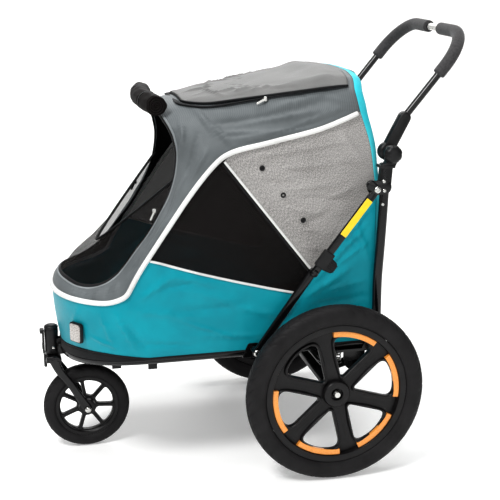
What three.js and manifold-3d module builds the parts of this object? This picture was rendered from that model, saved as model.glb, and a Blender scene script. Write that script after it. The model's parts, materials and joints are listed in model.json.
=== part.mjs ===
// A folding pet stroller: three wheels, a fabric cabin on a tube frame and a U-shaped push handle.
// Millimetres, +Z up, +X is the stroller's left, -Y is its front.
// Everything is laid out from the point on the floor under the rear axle, and the whole group is
// then moved back so that the middle of its footprint is at the origin.
import * as THREE from 'three';
import * as BufferGeometryUtils from 'three/addons/utils/BufferGeometryUtils.js';
import Module from 'manifold-3d';

const wasm = await Module();
wasm.setup();

// ---- driving dimensions ----
const FIT = 0.3;                    // gap between pieces that touch
const REAR_AXLE_FROM_ORIGIN = 145.3;
const WHEELBASE = 524.6;
const REAR_WHEEL_RADIUS = 203.2;    // 16 inch
const FRONT_WHEEL_RADIUS = 101.6;   // 8 inch
const REAR_TRACK_HALF = 298;
const REAR_TYRE_WIDTH = 48;
const FRONT_TYRE_WIDTH = 35;

const FRAME_HALF_WIDTH = 198;       // base tube centre line
const FRAME_TUBE_RADIUS = 11;
const FRAME_Z = 279;
const FRAME_NOSE_DROP = 23;         // how much lower the tube runs at the nose
const FRAME_BEND_Y = -400;          // where the straight sides end
const FRAME_NOSE_DEPTH = 171;
const FRAME_REAR_Y = 128;

const CABIN_HALF_WIDTH = 203;
const FABRIC = 2;                   // cloth thickness of the plain cabin panels
const SEAM_GAP = 2;                 // half the gap left along each seam
const NOSE_HALF_WIDTH = 200;
const NOSE_CENTRE_Y = -440;
const NOSE_DEPTH = 152;
const NOSE_PIPING_Z = 410;
const RING_HALF_WIDTH = 160;        // front opening, at its lower corners
const REAR_WALL_HALF_WIDTH = 196;

const FOLD_PIVOT = [118, 300];      // [y, z] of the uprights' lower pins
const KNEE = [-39, 468];            // where each brace folds
const BRACE_FOOT = [-166, 290];
const BRACE_TOP = [100, 648];
const HANDLE_PIVOT = [138, 722];
const SUSPENSION_PIVOT = [83, 225];

const UPRIGHT_X = 223;
const UPRIGHT_RADIUS = 10.5;
const LOWER_BRACE_X = [235.5, 245];
const UPPER_BRACE_X = [246.3, 256];
const BRACE_WIDTH = 18;
const HANDLE_HALF_WIDTH = 200.5;
const HANDLE_TUBE_RADIUS = 8;
const HANDLE_SLOPE = 50.5 * Math.PI / 180;
const HANDLE_CORNER = 90;
const GRIP_RADIUS = 14;
const HEAD_Y = -600;                // swivel axis of the front fork
const HEAD_TUBE_RADIUS = 16;

// ---- colours and finishes ----
const finish = (name, color, roughness, metalness = 0) =>
  new THREE.MeshStandardMaterial({ name, color, roughness, metalness });
const BLACK_FRAME = finish('black_enamel', 0x161618, 0.35, 0.2);
const BLACK_PLASTIC = finish('black_plastic', 0x2a2a2a, 0.55);
const CHROME = finish('bright_steel', 0xb9b9b9, 0.25, 0.9);
const RUBBER = finish('tyre_rubber', 0x2b2a2b, 0.85);
const FOAM = finish('grip_foam', 0x3f3e3e, 0.9);
const TEAL_CLOTH = finish('teal_cloth', 0x08a5b4, 0.75);
const GREY_CLOTH = finish('dark_grey_cloth', 0x6f777a, 0.8);
const FLAP_CLOTH = finish('light_grey_cloth', 0x9a9a98, 0.8);
const HEATHER_CLOTH = finish('heather_cloth', 0xa8a4a0, 0.9);
const MESH_CLOTH = finish('black_mesh', 0x221e1d, 0.9);
const BOARD = finish('floor_board', 0x26282b, 0.8);
const LENS = finish('reflector_lens', 0xd8dadb, 0.15);

// ---- helpers: closed solids, cuts and joins ----
/** Geometry with only merged positions, which is what a closed solid needs. */
function bare(geometry) {
  const copy = geometry.clone();
  copy.deleteAttribute('normal');
  copy.deleteAttribute('uv');
  return BufferGeometryUtils.mergeVertices(copy, 1e-4);
}

function solid(geometry) {
  const merged = bare(geometry);
  return new wasm.Manifold(new wasm.Mesh({
    numProp: 3,
    vertProperties: new Float32Array(merged.attributes.position.array),
    triVerts: new Uint32Array(merged.index.array),
  }));
}

function geometryOf(manifold) {
  const mesh = manifold.getMesh();
  const geometry = new THREE.BufferGeometry();
  geometry.setAttribute('position', new THREE.BufferAttribute(mesh.vertProperties, 3));
  geometry.setIndex(new THREE.BufferAttribute(mesh.triVerts, 1));
  geometry.computeVertexNormals();
  return geometry;
}

/** Joins the first list of geometries and cuts the second list out of them. */
function carve(joined, cuts = []) {
  let body = solid(joined[0]);
  for (const other of joined.slice(1)) body = body.add(solid(other));
  for (const other of cuts) body = body.subtract(solid(other));
  return geometryOf(body);
}

/** The same piece on the stroller's right, with its faces turned the right way round again. */
function mirrored(geometry) {
  const copy = bare(geometry).scale(-1, 1, 1);
  const corners = copy.index.array;
  for (let i = 0; i < corners.length; i += 3) {
    [corners[i + 1], corners[i + 2]] = [corners[i + 2], corners[i + 1]];
  }
  copy.computeVertexNormals();
  return copy;
}

function block([x0, x1], [y0, y1], [z0, z1]) {
  return new THREE.BoxGeometry(x1 - x0, y1 - y0, z1 - z0)
    .translate((x0 + x1) / 2, (y0 + y1) / 2, (z0 + z1) / 2);
}

/** Round bar along X from x0 to x1, centred on [y, z]. */
function barX(radius, [x0, x1], [y, z], sides = 20) {
  return new THREE.CylinderGeometry(radius, radius, x1 - x0, sides)
    .rotateZ(Math.PI / 2).translate((x0 + x1) / 2, y, z);
}

/** A body of revolution round the X axis through [y, z]; the profile is a list of [radius, x]. */
function turnedX(profile, [y, z], sides) {
  const points = profile.map(([radius, x]) => new THREE.Vector2(radius, x));
  return new THREE.LatheGeometry([...points, points[0]], sides)
    .rotateZ(-Math.PI / 2).translate(0, y, z);
}

/** A body of revolution round a vertical axis at x = 0; the profile is a list of [radius, z]. */
function turnedZ(profile, y, sides) {
  const points = profile.map(([radius, z]) => new THREE.Vector2(radius, z));
  return new THREE.LatheGeometry([...points, points[0]], sides)
    .rotateX(Math.PI / 2).translate(0, y, 0);
}

/** A flat outline of [y, z] points (or a Shape in y, z) as a plate from x0 to x1. */
function plateX(outline, [x0, x1], curveSegments = 8) {
  const shape = Array.isArray(outline)
    ? new THREE.Shape(outline.map((point) => new THREE.Vector2(...point)))
    : outline;
  return new THREE.ExtrudeGeometry(shape, { depth: x1 - x0, bevelEnabled: false, curveSegments })
    .rotateY(Math.PI / 2).rotateX(Math.PI / 2).translate(x0, 0, 0);
}

/** Outline of a strap of the given width between two [y, z] points, round at both ends. */
function strap([y0, z0], [y1, z1], width) {
  const shape = new THREE.Shape();
  const along = Math.atan2(z1 - z0, y1 - y0);
  shape.absarc(y0, z0, width / 2, along + Math.PI / 2, along + Math.PI * 3 / 2, false);
  shape.absarc(y1, z1, width / 2, along - Math.PI / 2, along + Math.PI / 2, false);
  return shape;
}

function tube(curve, radius, steps, sides = 10) {
  const section = new THREE.Shape();
  section.absarc(0, 0, radius, 0, Math.PI * 2, false);
  return new THREE.ExtrudeGeometry(section, { steps, curveSegments: sides / 2, extrudePath: curve });
}

/** A [y, z] outline moved inward by a distance, corner by corner. The outline runs anticlockwise. */
function inset(outline, distance) {
  return outline.map(([y, z], i) => {
    const before = outline[(i + outline.length - 1) % outline.length];
    const after = outline[(i + 1) % outline.length];
    const a = new THREE.Vector2(y - before[0], z - before[1]).normalize();
    const b = new THREE.Vector2(after[0] - y, after[1] - z).normalize();
    const push = distance / (1 + a.dot(b));
    return [y + (-a.y - b.y) * push, z + (a.x + b.x) * push];
  });
}

/** A cloth panel: surface(u, v) is its outer face, u x v points out, and the cloth lies inside it. */
function panel(surface, columns, rows, thickness = FABRIC) {
  const outer = [];
  const inner = [];
  const at = (u, v) => surface(Math.min(Math.max(u, 0), 1), Math.min(Math.max(v, 0), 1));
  for (let j = 0; j <= rows; j++) {
    for (let i = 0; i <= columns; i++) {
      const u = i / columns;
      const v = j / rows;
      const along = at(u + 0.01, v).sub(at(u - 0.01, v));
      const up = at(u, v + 0.01).sub(at(u, v - 0.01));
      const normal = along.cross(up).normalize();
      const point = surface(u, v);
      outer.push(point);
      inner.push(point.clone().addScaledVector(normal, -thickness));
    }
  }
  const index = [];
  const id = (i, j, inside) => j * (columns + 1) + i + (inside ? outer.length : 0);
  const quad = (a, b, c, d) => index.push(a, b, c, a, c, d);
  for (let j = 0; j < rows; j++) {
    for (let i = 0; i < columns; i++) {
      quad(id(i, j), id(i + 1, j), id(i + 1, j + 1), id(i, j + 1));
      quad(id(i, j, true), id(i, j + 1, true), id(i + 1, j + 1, true), id(i + 1, j, true));
    }
  }
  for (let i = 0; i < columns; i++) {
    quad(id(i, 0, true), id(i + 1, 0, true), id(i + 1, 0), id(i, 0));
    quad(id(i, rows), id(i + 1, rows), id(i + 1, rows, true), id(i, rows, true));
  }
  for (let j = 0; j < rows; j++) {
    quad(id(0, j, true), id(0, j), id(0, j + 1), id(0, j + 1, true));
    quad(id(columns, j), id(columns, j, true), id(columns, j + 1, true), id(columns, j + 1));
  }
  const positions = [...outer, ...inner].flatMap((point) => point.toArray());
  const geometry = new THREE.BufferGeometry();
  geometry.setAttribute('position', new THREE.Float32BufferAttribute(positions, 3));
  geometry.setIndex(index);
  geometry.computeVertexNormals();
  return geometry;
}

const stroller = new THREE.Group();
stroller.name = 'pet_stroller';
stroller.position.y = REAR_AXLE_FROM_ORIGIN;

function add(name, geometry, material) {
  const mesh = new THREE.Mesh(geometry, material);
  mesh.name = name;
  stroller.add(mesh);
}

/** Adds a piece made for the stroller's left and its mirror image on the right. */
function addPair(name, geometry, material) {
  add(`${name}_left`, geometry, material);
  add(`${name}_right`, mirrored(geometry), material);
}

// ---- base frame ----
/** Height of the base tube's centre at an angle round the nose, 0 and PI being the straight sides. */
const frameZ = (angle) => FRAME_Z - FRAME_NOSE_DROP * Math.sin(angle) ** 2;

class BaseLoop extends THREE.Curve {
  getPoint(t) {
    const straight = FRAME_REAR_Y - FRAME_BEND_Y;
    const share = 0.3;                       // of the curve's parameter spent on each straight side
    if (t < share) {
      return new THREE.Vector3(FRAME_HALF_WIDTH, FRAME_REAR_Y - straight * t / share, FRAME_Z);
    }
    if (t > 1 - share) {
      return new THREE.Vector3(-FRAME_HALF_WIDTH, FRAME_REAR_Y - straight * (1 - t) / share, FRAME_Z);
    }
    const angle = Math.PI * (t - share) / (1 - 2 * share);
    return new THREE.Vector3(
      FRAME_HALF_WIDTH * Math.cos(angle),
      FRAME_BEND_Y - FRAME_NOSE_DEPTH * Math.sin(angle),
      frameZ(angle),
    );
  }
}

/** Half the inner width of the base loop at a place y on its nose. */
function frameHalfWidthAt(y) {
  const reach = Math.min(Math.max((FRAME_BEND_Y - y) / FRAME_NOSE_DEPTH, 0), 1);
  return FRAME_HALF_WIDTH * Math.sqrt(1 - reach ** 2);
}

function makeBaseFrame() {
  const crossTube = barX(9, [-FRAME_HALF_WIDTH, FRAME_HALF_WIDTH], [116, FRAME_Z], 12);
  const middleTube = barX(8, [-FRAME_HALF_WIDTH, FRAME_HALF_WIDTH], [-150, FRAME_Z], 12);
  const loop = tube(new BaseLoop(), FRAME_TUBE_RADIUS, 34, 10);
  add('base_frame', carve([loop, crossTube, middleTube]), BLACK_FRAME);
}

/** Plates welded to the base tube: the foot of each folding brace. */
function makeBraceBrackets() {
  const [y, z] = BRACE_FOOT;
  const outside = FRAME_HALF_WIDTH + FRAME_TUBE_RADIUS + FIT;
  const corners = [[y - 26, z - 22], [y + 26, z - 22], [y + 12, z + 12], [y - 12, z + 12]];
  const plate = plateX(corners, [outside, outside + 3]);
  const spacer = barX(8, [outside, LOWER_BRACE_X[0] - FIT], [y, z], 16);
  const pin = barX(4, [outside, LOWER_BRACE_X[1] + 3], [y, z], 12);
  const head = barX(7, [LOWER_BRACE_X[1] + FIT, LOWER_BRACE_X[1] + 4], [y, z], 16);
  addPair('brace_bracket', carve([plate, spacer, pin, head]), BLACK_FRAME);
}

/** Brackets at the rear corners: they hold the uprights' pins, the spring seats and the axle's pivots. */
function makeRearBrackets() {
  const outside = FRAME_HALF_WIDTH + FRAME_TUBE_RADIUS + FIT;
  const under = FRAME_Z - FRAME_TUBE_RADIUS - FIT;
  const [y, z] = FOLD_PIVOT;
  const ear = plateX([[y - 30, under - 6], [y + 18, under - 6], [y + 14, z + 12], [y - 12, z + 12]],
    [outside, outside + 2.6]);
  const pin = barX(5, [outside, UPRIGHT_X + UPRIGHT_RADIUS + 3], [y, z], 14);
  const pinHead = barX(8, [UPRIGHT_X + UPRIGHT_RADIUS + FIT, UPRIGHT_X + UPRIGHT_RADIUS + 3.5], [y, z], 16);
  const shelf = block([148, outside + 2.6], [26, y + 18], [under - 6, under]);
  const roundEnd = [[57, 226], [62, 214], [72, 206], [83, 203], [94, 206], [103, 214], [107, 226]];
  const hanger = plateX([[57, under - 1], ...roundEnd, [107, under - 1]], [176, 184]);
  const hole = barX(5.3, [170, 190], SUSPENSION_PIVOT, 14);
  addPair('rear_bracket', carve([ear, pin, pinHead, shelf, hanger], [hole]), BLACK_FRAME);
}

// ---- floor ----
/** Outline of the cabin floor at a distance inside the cabin wall, as an [x, y] shape. */
function floorShape(margin, rearY) {
  const half = NOSE_HALF_WIDTH - margin;
  const shape = new THREE.Shape();
  shape.moveTo(half, rearY);
  shape.lineTo(-half, rearY);
  shape.absellipse(0, NOSE_CENTRE_Y, half, NOSE_DEPTH - margin - 8, Math.PI, Math.PI * 2, false);
  return shape;
}

function slab(shape, [z0, z1], curveSegments = 14) {
  return new THREE.ExtrudeGeometry(shape, { depth: z1 - z0, bevelEnabled: false, curveSegments })
    .translate(0, 0, z0);
}

const FLOOR_Z = FRAME_Z + FRAME_TUBE_RADIUS + FIT;
const BOARD_THICKNESS = 6;
const CUSHION_THICKNESS = 24;

function makeFloor() {
  add('floor_board', slab(floorShape(10, 108), [FLOOR_Z, FLOOR_Z + BOARD_THICKNESS]), BOARD);
  const cushionZ = FLOOR_Z + BOARD_THICKNESS + FIT;
  add('floor_cushion', slab(floorShape(14, 100), [cushionZ, cushionZ + CUSHION_THICKNESS]), GREY_CLOTH);
  for (const [name, y] of [['front', -467], ['rear', -389]]) {
    const half = frameHalfWidthAt(y - 10) - FRAME_TUBE_RADIUS - 9;
    const top = FLOOR_Z - FIT;
    const bar = block([-half, half], [y - 10, y + 10], [top - 4, top]);
    const tabs = [-half, half].map((x) => block([x - 2.5, x + 2.5], [y - 10, y + 10], [248, top]));
    add(`floor_slat_${name}`, carve([bar, ...tabs]), BLACK_PLASTIC);
  }
}

// ---- cabin cloth ----
// Seam lines in the side wall, as [y, z].
const NOSE_CORNER = [-445, 427];
const WINDOW_FRONT = [-393, 509];
const WINDOW_TOP = [-242, 717];
const WINDOW_KNEE = [-27, 450];      // this seam runs up behind the folding brace
const WINDOW_REAR = [-56, 407];
const BRACE_SEAM_TOP = [115, 636];
const SIDE_PIPING = [NOSE_CORNER, [-416, 475], WINDOW_FRONT, [-337, 588], [-282, 665], WINDOW_TOP,
  [-205, 736]];
const TOP_PIPING = [[-205, 735], [-155, 745], [-62, 769], [5, 790], [58, 804]];
const REAR_EDGE = [[76, 808], [88, 770], [98, 738], [106, 700], [111, 668], [115, 645]];
const TUB_BOTTOM_Z = FLOOR_Z + 1;

const lerp = (a, b, t) => a + (b - a) * t;

/** Point at t in 0..1 on a smooth line through a few points. */
function along(points, t) {
  const line = new THREE.CatmullRomCurve3(points.map((p) => new THREE.Vector3(...p)), false, 'centripetal');
  return line.getPoint(t);
}

function sideWall(outline) {
  return plateX(inset(outline, SEAM_GAP / 2), [CABIN_HALF_WIDTH - FABRIC, CABIN_HALF_WIDTH]);
}

function makeSideWalls() {
  const front = NOSE_CENTRE_Y + SEAM_GAP;
  const tub = [[front, TUB_BOTTOM_Z], [BRACE_SEAM_TOP[0], TUB_BOTTOM_Z], BRACE_SEAM_TOP, WINDOW_REAR,
    WINDOW_FRONT, [front, 434]];
  addPair('tub_side', sideWall(tub), TEAL_CLOTH);
  addPair('side_window', sideWall([WINDOW_FRONT, WINDOW_REAR, WINDOW_KNEE, WINDOW_TOP]), MESH_CLOTH);
  const edge = [...TOP_PIPING, ...REAR_EDGE].reverse();
  const hood = [WINDOW_KNEE, BRACE_SEAM_TOP, ...edge, WINDOW_TOP];
  addPair('hood_side', sideWall(hood), HEATHER_CLOTH);
}

/** The front opening's near edge at t, from its lower corner to its upper one. */
const RING_SIDE = [[160, -463, 458], [160, -430, 487], [157, -395, 540], [155, -361, 593], [155, -338, 640],
  [155, -324, 691], [153, -321, 735], [147, -327, 767]];
const ringSide = (t) => along(RING_SIDE, t);
const RING_BOTTOM = { y: -463, depth: 114, z: 458, drop: 22 };

/** The nose piping at an angle, 0 at the left and PI at the right. It lifts a little at both ends. */
function nosePiping(angle, inside = 0) {
  return new THREE.Vector3(
    (NOSE_HALF_WIDTH - inside) * Math.cos(angle),
    NOSE_CENTRE_Y - (NOSE_DEPTH - inside) * Math.sin(angle),
    NOSE_PIPING_Z + 14 * Math.cos(angle) ** 6,
  );
}

function makeNose() {
  const tub = panel((u, v) => {
    const angle = Math.PI * u;
    const top = nosePiping(angle).add(new THREE.Vector3(0, 0, -SEAM_GAP));
    const bottom = nosePiping(angle, 4);
    bottom.y += 14 * Math.sin(angle);
    bottom.z = TUB_BOTTOM_Z - FRAME_NOSE_DROP * Math.sin(angle) ** 2;
    return top.lerp(bottom, v);
  }, 26, 2);
  add('tub_front', tub, TEAL_CLOTH);

  const apron = panel((u, v) => {
    const angle = Math.PI * lerp(0.02, 0.98, u);
    const ring = new THREE.Vector3(
      RING_HALF_WIDTH * Math.cos(angle),
      RING_BOTTOM.y - RING_BOTTOM.depth * Math.sin(angle),
      RING_BOTTOM.z - RING_BOTTOM.drop * Math.sin(angle),
    );
    const piping = nosePiping(angle);
    const point = ring.lerp(piping, lerp(0.06, 0.94, v));
    point.z += 4 * Math.sin(Math.PI * v);
    return point;
  }, 20, 3);
  add('front_apron', apron, GREY_CLOTH);

  const shoulder = panel((u, v) => {
    const t = lerp(0.02, 0.985, u);
    const edge = along(SIDE_PIPING.map(([y, z]) => [CABIN_HALF_WIDTH, y, z]), t);
    const point = edge.lerp(ringSide(t), lerp(0.06, 0.97, v));
    const swell = 8 * Math.sin(Math.PI * v);
    return point.add(new THREE.Vector3(0.7 * swell, -0.5 * swell, 0.5 * swell));
  }, 12, 4);
  addPair('front_shoulder', shoulder, GREY_CLOTH);
}

/** The see-through bib: its lower edge follows the opening and its upper edge dips into a V. */
function makeBib() {
  const bib = panel((u, v) => {
    const across = 1 - 2 * u;
    const side = ringSide(0.72 * v);
    const middle = along([[0, -577, 436], [0, -548, 466], [0, -490, 506]], v);
    const round = Math.sqrt(Math.max(1 - across ** 2, 0));
    const straight = 1 - Math.abs(across) ** 1.3;
    const share = lerp(round, straight, v);
    return new THREE.Vector3(
      across * (side.x - 3),
      lerp(side.y, middle.y, share) + 4,
      lerp(side.z, middle.z, share) + 3,
    );
  }, 14, 5);
  add('front_bib', bib, MESH_CLOTH);
  add('rolled_door', barX(20, [-120, 120], [-376, 823], 18), MESH_CLOTH);
}

// ---- roof ----
const ROOF_FRONT = [[203, -203, 740], [180, -268, 757], [150, -320, 776], [115, -341, 799], [60, -349, 815],
  [0, -350, 820]];
const ROOF_REAR = [[203, 76, 812], [203, 69, 836], [193, 66, 861], [165, 70, 877], [110, 79, 885],
  [55, 85, 888], [0, 88, 889]];
const ROOF_RISE = 10;

/** Roof surface: side runs from 1 at the left edge to -1 at the right, back from 0 in front to 1. */
function roofPoint(side, back) {
  const front = along(ROOF_FRONT, 1 - Math.abs(side));
  const point = front.lerp(along(ROOF_REAR, 1 - Math.abs(side)), back);
  point.z += ROOF_RISE * (1 - (2 * back - 1) ** 6) * (1 - side ** 2) ** 0.7;
  if (side < 0) point.x *= -1;
  return point;
}

function makeRoof() {
  const roof = panel((u, v) => roofPoint(lerp(0.985, -0.985, u), lerp(0.985, 0.01, v)), 14, 8);
  add('roof_panel', roof, GREY_CLOTH);
  const flap = panel((u, v) => {
    const reach = lerp(0.7, 0.48, v);
    const point = roofPoint(lerp(reach, -reach, u), lerp(0.93, 0.07, v));
    point.z += FABRIC + 3;
    return point;
  }, 10, 8);
  add('roof_flap', flap, FLAP_CLOTH);
}

/** The back of the cabin: it leans forward at the top, bulges in the middle and ends under the roof's hoop. */
function makeRearWall() {
  const hoop = Array.from({ length: 81 }, (_, i) => along(ROOF_REAR, i / 80));
  const wall = panel((u, v) => {
    const side = lerp(1, -1, u);
    const under = hoop.find((point) => point.x <= Math.abs(side) * CABIN_HALF_WIDTH) ?? hoop.at(-1);
    const z = lerp(TUB_BOTTOM_Z, under.z - 6, v);
    const lean = 39 * Math.min(Math.max((z - 640) / 166, 0), 1.1) ** 1.3;
    const crown = 10 + 10 * ((z - TUB_BOTTOM_Z) / 570) ** 2;
    return new THREE.Vector3(side * REAR_WALL_HALF_WIDTH, 116 - lean + crown * (1 - side ** 2), z);
  }, 14, 8);
  add('rear_wall', wall, TEAL_CLOTH);
}

/** A clear reflector on each side of the nose. */
function makeReflectors() {
  const angle = 50 * Math.PI / 180;
  const place = nosePiping(angle);
  const facing = new THREE.Vector3(Math.cos(angle) / NOSE_HALF_WIDTH, -Math.sin(angle) / NOSE_DEPTH, 0);
  const turn = Math.atan2(facing.y, facing.x);
  const lens = new THREE.BoxGeometry(5, 34, 40).rotateZ(turn)
    .translate(place.x + 4.5 * Math.cos(turn), place.y + 4.5 * Math.sin(turn), 334);
  addPair('reflector', lens, LENS);
}

// ---- folding uprights, braces and their locks ----
function makeUprights() {
  const side = [[118, 286], [118, 372], [118, 432], [122, 510], [126, 600], [129, 692]];
  const line = new THREE.CatmullRomCurve3(side.map(([y, z]) => new THREE.Vector3(UPRIGHT_X, y, z)));
  const outer = UPRIGHT_X + UPRIGHT_RADIUS;
  const tab = plateX(strap([124, 648], BRACE_TOP, 34), [outer - 4, outer + 3]);
  const pin = barX(4, [outer, UPPER_BRACE_X[1] + 3], BRACE_TOP, 12);
  const head = barX(7, [UPPER_BRACE_X[1] + FIT, UPPER_BRACE_X[1] + 4], BRACE_TOP, 16);
  const spacer = barX(7, [outer, UPPER_BRACE_X[0] - FIT], BRACE_TOP, 16);
  const pivotHole = barX(5.4, [UPRIGHT_X - 20, UPRIGHT_X + 20], FOLD_PIVOT, 14);
  const pole = tube(line, UPRIGHT_RADIUS, 7, 12);
  addPair('upright', carve([pole, tab, pin, head, spacer], [pivotHole]), BLACK_FRAME);
}

function makeBraces() {
  const footHole = barX(4.4, [200, 260], BRACE_FOOT, 12);
  const topHole = barX(4.4, [200, 280], BRACE_TOP, 12);
  const lowerBar = plateX(strap(BRACE_FOOT, KNEE, BRACE_WIDTH), LOWER_BRACE_X);
  addPair('lower_brace', carve([lowerBar], [footHole]), BLACK_FRAME);
  const dome = barX(8, [UPPER_BRACE_X[1] - 1, UPPER_BRACE_X[1] + 4], KNEE, 16);
  const upperBar = plateX(strap(KNEE, BRACE_TOP, BRACE_WIDTH), UPPER_BRACE_X);
  addPair('upper_brace', carve([upperBar, dome], [topHole]), BLACK_FRAME);
}

/** A sliding collar that locks each brace straight. It wraps three sides of the upper bar. */
function makeLockCollars() {
  const span = Math.hypot(BRACE_TOP[0] - KNEE[0], BRACE_TOP[1] - KNEE[1]);
  const [dy, dz] = [(BRACE_TOP[0] - KNEE[0]) / span, (BRACE_TOP[1] - KNEE[1]) / span];
  const on = (distance, off) => {
    return [KNEE[0] + dy * distance + dz * off, KNEE[1] + dz * distance - dy * off];
  };
  const half = BRACE_WIDTH / 2 + 4;
  const shell = plateX([on(16, half), on(58, half), on(58, -half), on(16, -half)],
    [UPPER_BRACE_X[0], UPPER_BRACE_X[1] + 4.5]);
  const thumb = plateX([on(22, half + 20), on(44, half + 20), on(48, half - 1), on(18, half - 1)],
    [UPPER_BRACE_X[0], UPPER_BRACE_X[1] + 2]);
  const inside = BRACE_WIDTH / 2 + FIT;
  const slot = plateX([on(0, inside), on(80, inside), on(80, -inside), on(0, -inside)],
    [UPPER_BRACE_X[0] - 5, UPPER_BRACE_X[1] + FIT]);
  addPair('lock_collar', carve([shell, thumb], [slot]), BLACK_PLASTIC);
}

// ---- push handle ----
const HANDLE_START = [172, 790];    // [y, z] of the tube's centre where distance is 0

/** Point on the handle's plane: x across, and a distance up its slope. */
const handlePoint = (x, distance) => new THREE.Vector3(
  x,
  HANDLE_START[0] + distance * Math.cos(HANDLE_SLOPE),
  HANDLE_START[1] + distance * Math.sin(HANDLE_SLOPE),
);
const HANDLE_LENGTH = 236;
const GRIP_START = 124;
const GRIP_INNER_HALF = 33;

/** The U of the handle, from one distance up the left leg over the top bar to an inner end at xEnd. */
function handleLine(start, xEnd) {
  const path = new THREE.CurvePath();
  const half = HANDLE_HALF_WIDTH;
  const bend = HANDLE_LENGTH - HANDLE_CORNER;
  const inner = half - HANDLE_CORNER;
  const pull = HANDLE_CORNER * 0.552;      // makes a Bezier corner very nearly a quarter circle
  path.add(new THREE.LineCurve3(handlePoint(half, start), handlePoint(half, bend)));
  path.add(new THREE.CubicBezierCurve3(handlePoint(half, bend), handlePoint(half, bend + pull),
    handlePoint(inner + pull, HANDLE_LENGTH), handlePoint(inner, HANDLE_LENGTH)));
  if (xEnd > 0) {
    path.add(new THREE.LineCurve3(handlePoint(inner, HANDLE_LENGTH), handlePoint(xEnd, HANDLE_LENGTH)));
    return path;
  }
  path.add(new THREE.LineCurve3(handlePoint(inner, HANDLE_LENGTH), handlePoint(-inner, HANDLE_LENGTH)));
  path.add(new THREE.CubicBezierCurve3(handlePoint(-inner, HANDLE_LENGTH),
    handlePoint(-inner - pull, HANDLE_LENGTH), handlePoint(-half, bend + pull), handlePoint(-half, bend)));
  path.add(new THREE.LineCurve3(handlePoint(-half, bend), handlePoint(-half, start)));
  return path;
}

function makeHandle() {
  add('handle_tube', tube(handleLine(-28, -1), HANDLE_TUBE_RADIUS, 34, 8), BLACK_FRAME);
  const foam = tube(handleLine(GRIP_START, GRIP_INNER_HALF), GRIP_RADIUS, 12, 10);
  const boreLine = handleLine(GRIP_START - 10, GRIP_INNER_HALF - 10);
  const bore = tube(boreLine, HANDLE_TUBE_RADIUS + FIT + 0.8, 12, 8);
  addPair('grip', carve([foam], [bore]), FOAM);
}

function makeHandleBrackets() {
  const inner = [UPRIGHT_X - 13, UPRIGHT_X + 13];
  const sleeve = plateX([[113, 636], [139, 636], [143, 700], [117, 700]], inner);
  const ear = plateX(strap([129, 694], HANDLE_PIVOT, 36), [212.6, inner[1]]);
  const cheek = plateX([[112, 690], [146, 690], [146, 701], [112, 701]], [212.6, inner[1]]);
  const socketLine = new THREE.LineCurve3(
    new THREE.Vector3(UPRIGHT_X, 126.2, 600),
    new THREE.Vector3(UPRIGHT_X, 129.5, 694),
  );
  const socket = tube(socketLine, UPRIGHT_RADIUS + 0.8, 1, 14);
  const tabRoom = plateX(strap([124, 648], BRACE_TOP, 36), [UPRIGHT_X + 5, UPRIGHT_X + 20]);
  const boltHole = barX(5.1, [180, 260], HANDLE_PIVOT, 16);
  addPair('lower_handle_bracket', carve([sleeve, cheek, ear], [socket, tabRoom, boltHole]), BLACK_PLASTIC);

  const arm = plateX(strap(HANDLE_PIVOT, [176, 795], 27), [HANDLE_HALF_WIDTH - 11, 212.2]);
  const disc = barX(20, [HANDLE_HALF_WIDTH - 11, 212.2], HANDLE_PIVOT, 24);
  const boreLine = new THREE.LineCurve3(
    handlePoint(HANDLE_HALF_WIDTH, -28.5),
    handlePoint(HANDLE_HALF_WIDTH, 60),
  );
  const bore = tube(boreLine, HANDLE_TUBE_RADIUS + 0.6, 1, 10);
  addPair('upper_handle_bracket', carve([arm, disc], [bore, boltHole]), BLACK_PLASTIC);

  const face = inner[1] + FIT;
  const domeProfile = [[0, face], [19, face], [20.5, face + 4], [19, face + 11], [14, face + 16],
    [7, face + 18.5], [0, face + 19]];
  const dome = turnedX(domeProfile, HANDLE_PIVOT, 24);
  const bolt = barX(4.7, [HANDLE_HALF_WIDTH - 14, face + 2], HANDLE_PIVOT, 16);
  addPair('clamp_knob', carve([dome, bolt]), BLACK_PLASTIC);
}

// ---- front castor ----
function makeHead() {
  const radius = HEAD_TUBE_RADIUS;
  const shell = turnedZ([[11.4, 241], [radius, 241], [radius, 300], [11.4, 300]], HEAD_Y, 28);
  const saddle = block([-22, 22], [HEAD_Y + 12, -556], [241, 266]);
  const loop = tube(new BaseLoop(), FRAME_TUBE_RADIUS + FIT + 0.2, 34, 10);
  const well = turnedZ([[0, 230], [11.4, 230], [11.4, 310], [0, 310]], HEAD_Y, 28);
  add('head_tube', carve([shell, saddle], [loop, well]), BLACK_PLASTIC);
  const bush = turnedZ([[8.4, 241.5], [11, 241.5], [11, 299.5], [8.4, 299.5]], HEAD_Y, 24);
  add('head_bush', bush, BLACK_PLASTIC);
  const cap = turnedZ([[0, 300.4], [radius, 300.4], [radius, 304], [12.5, 308], [0, 309.5]], HEAD_Y, 28);
  add('head_cap', cap, BLACK_PLASTIC);
  const front = HEAD_Y - radius - FIT;
  const strip = block([-9, 9], [front - 5, front], [242, 299]);
  const lip = block([-9, 9], [front - 10, front], [291, 299]);
  add('swivel_lock', carve([strip, lip]), BLACK_PLASTIC);
}

const FRONT_AXLE = [-WHEELBASE, FRONT_WHEEL_RADIUS];

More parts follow.
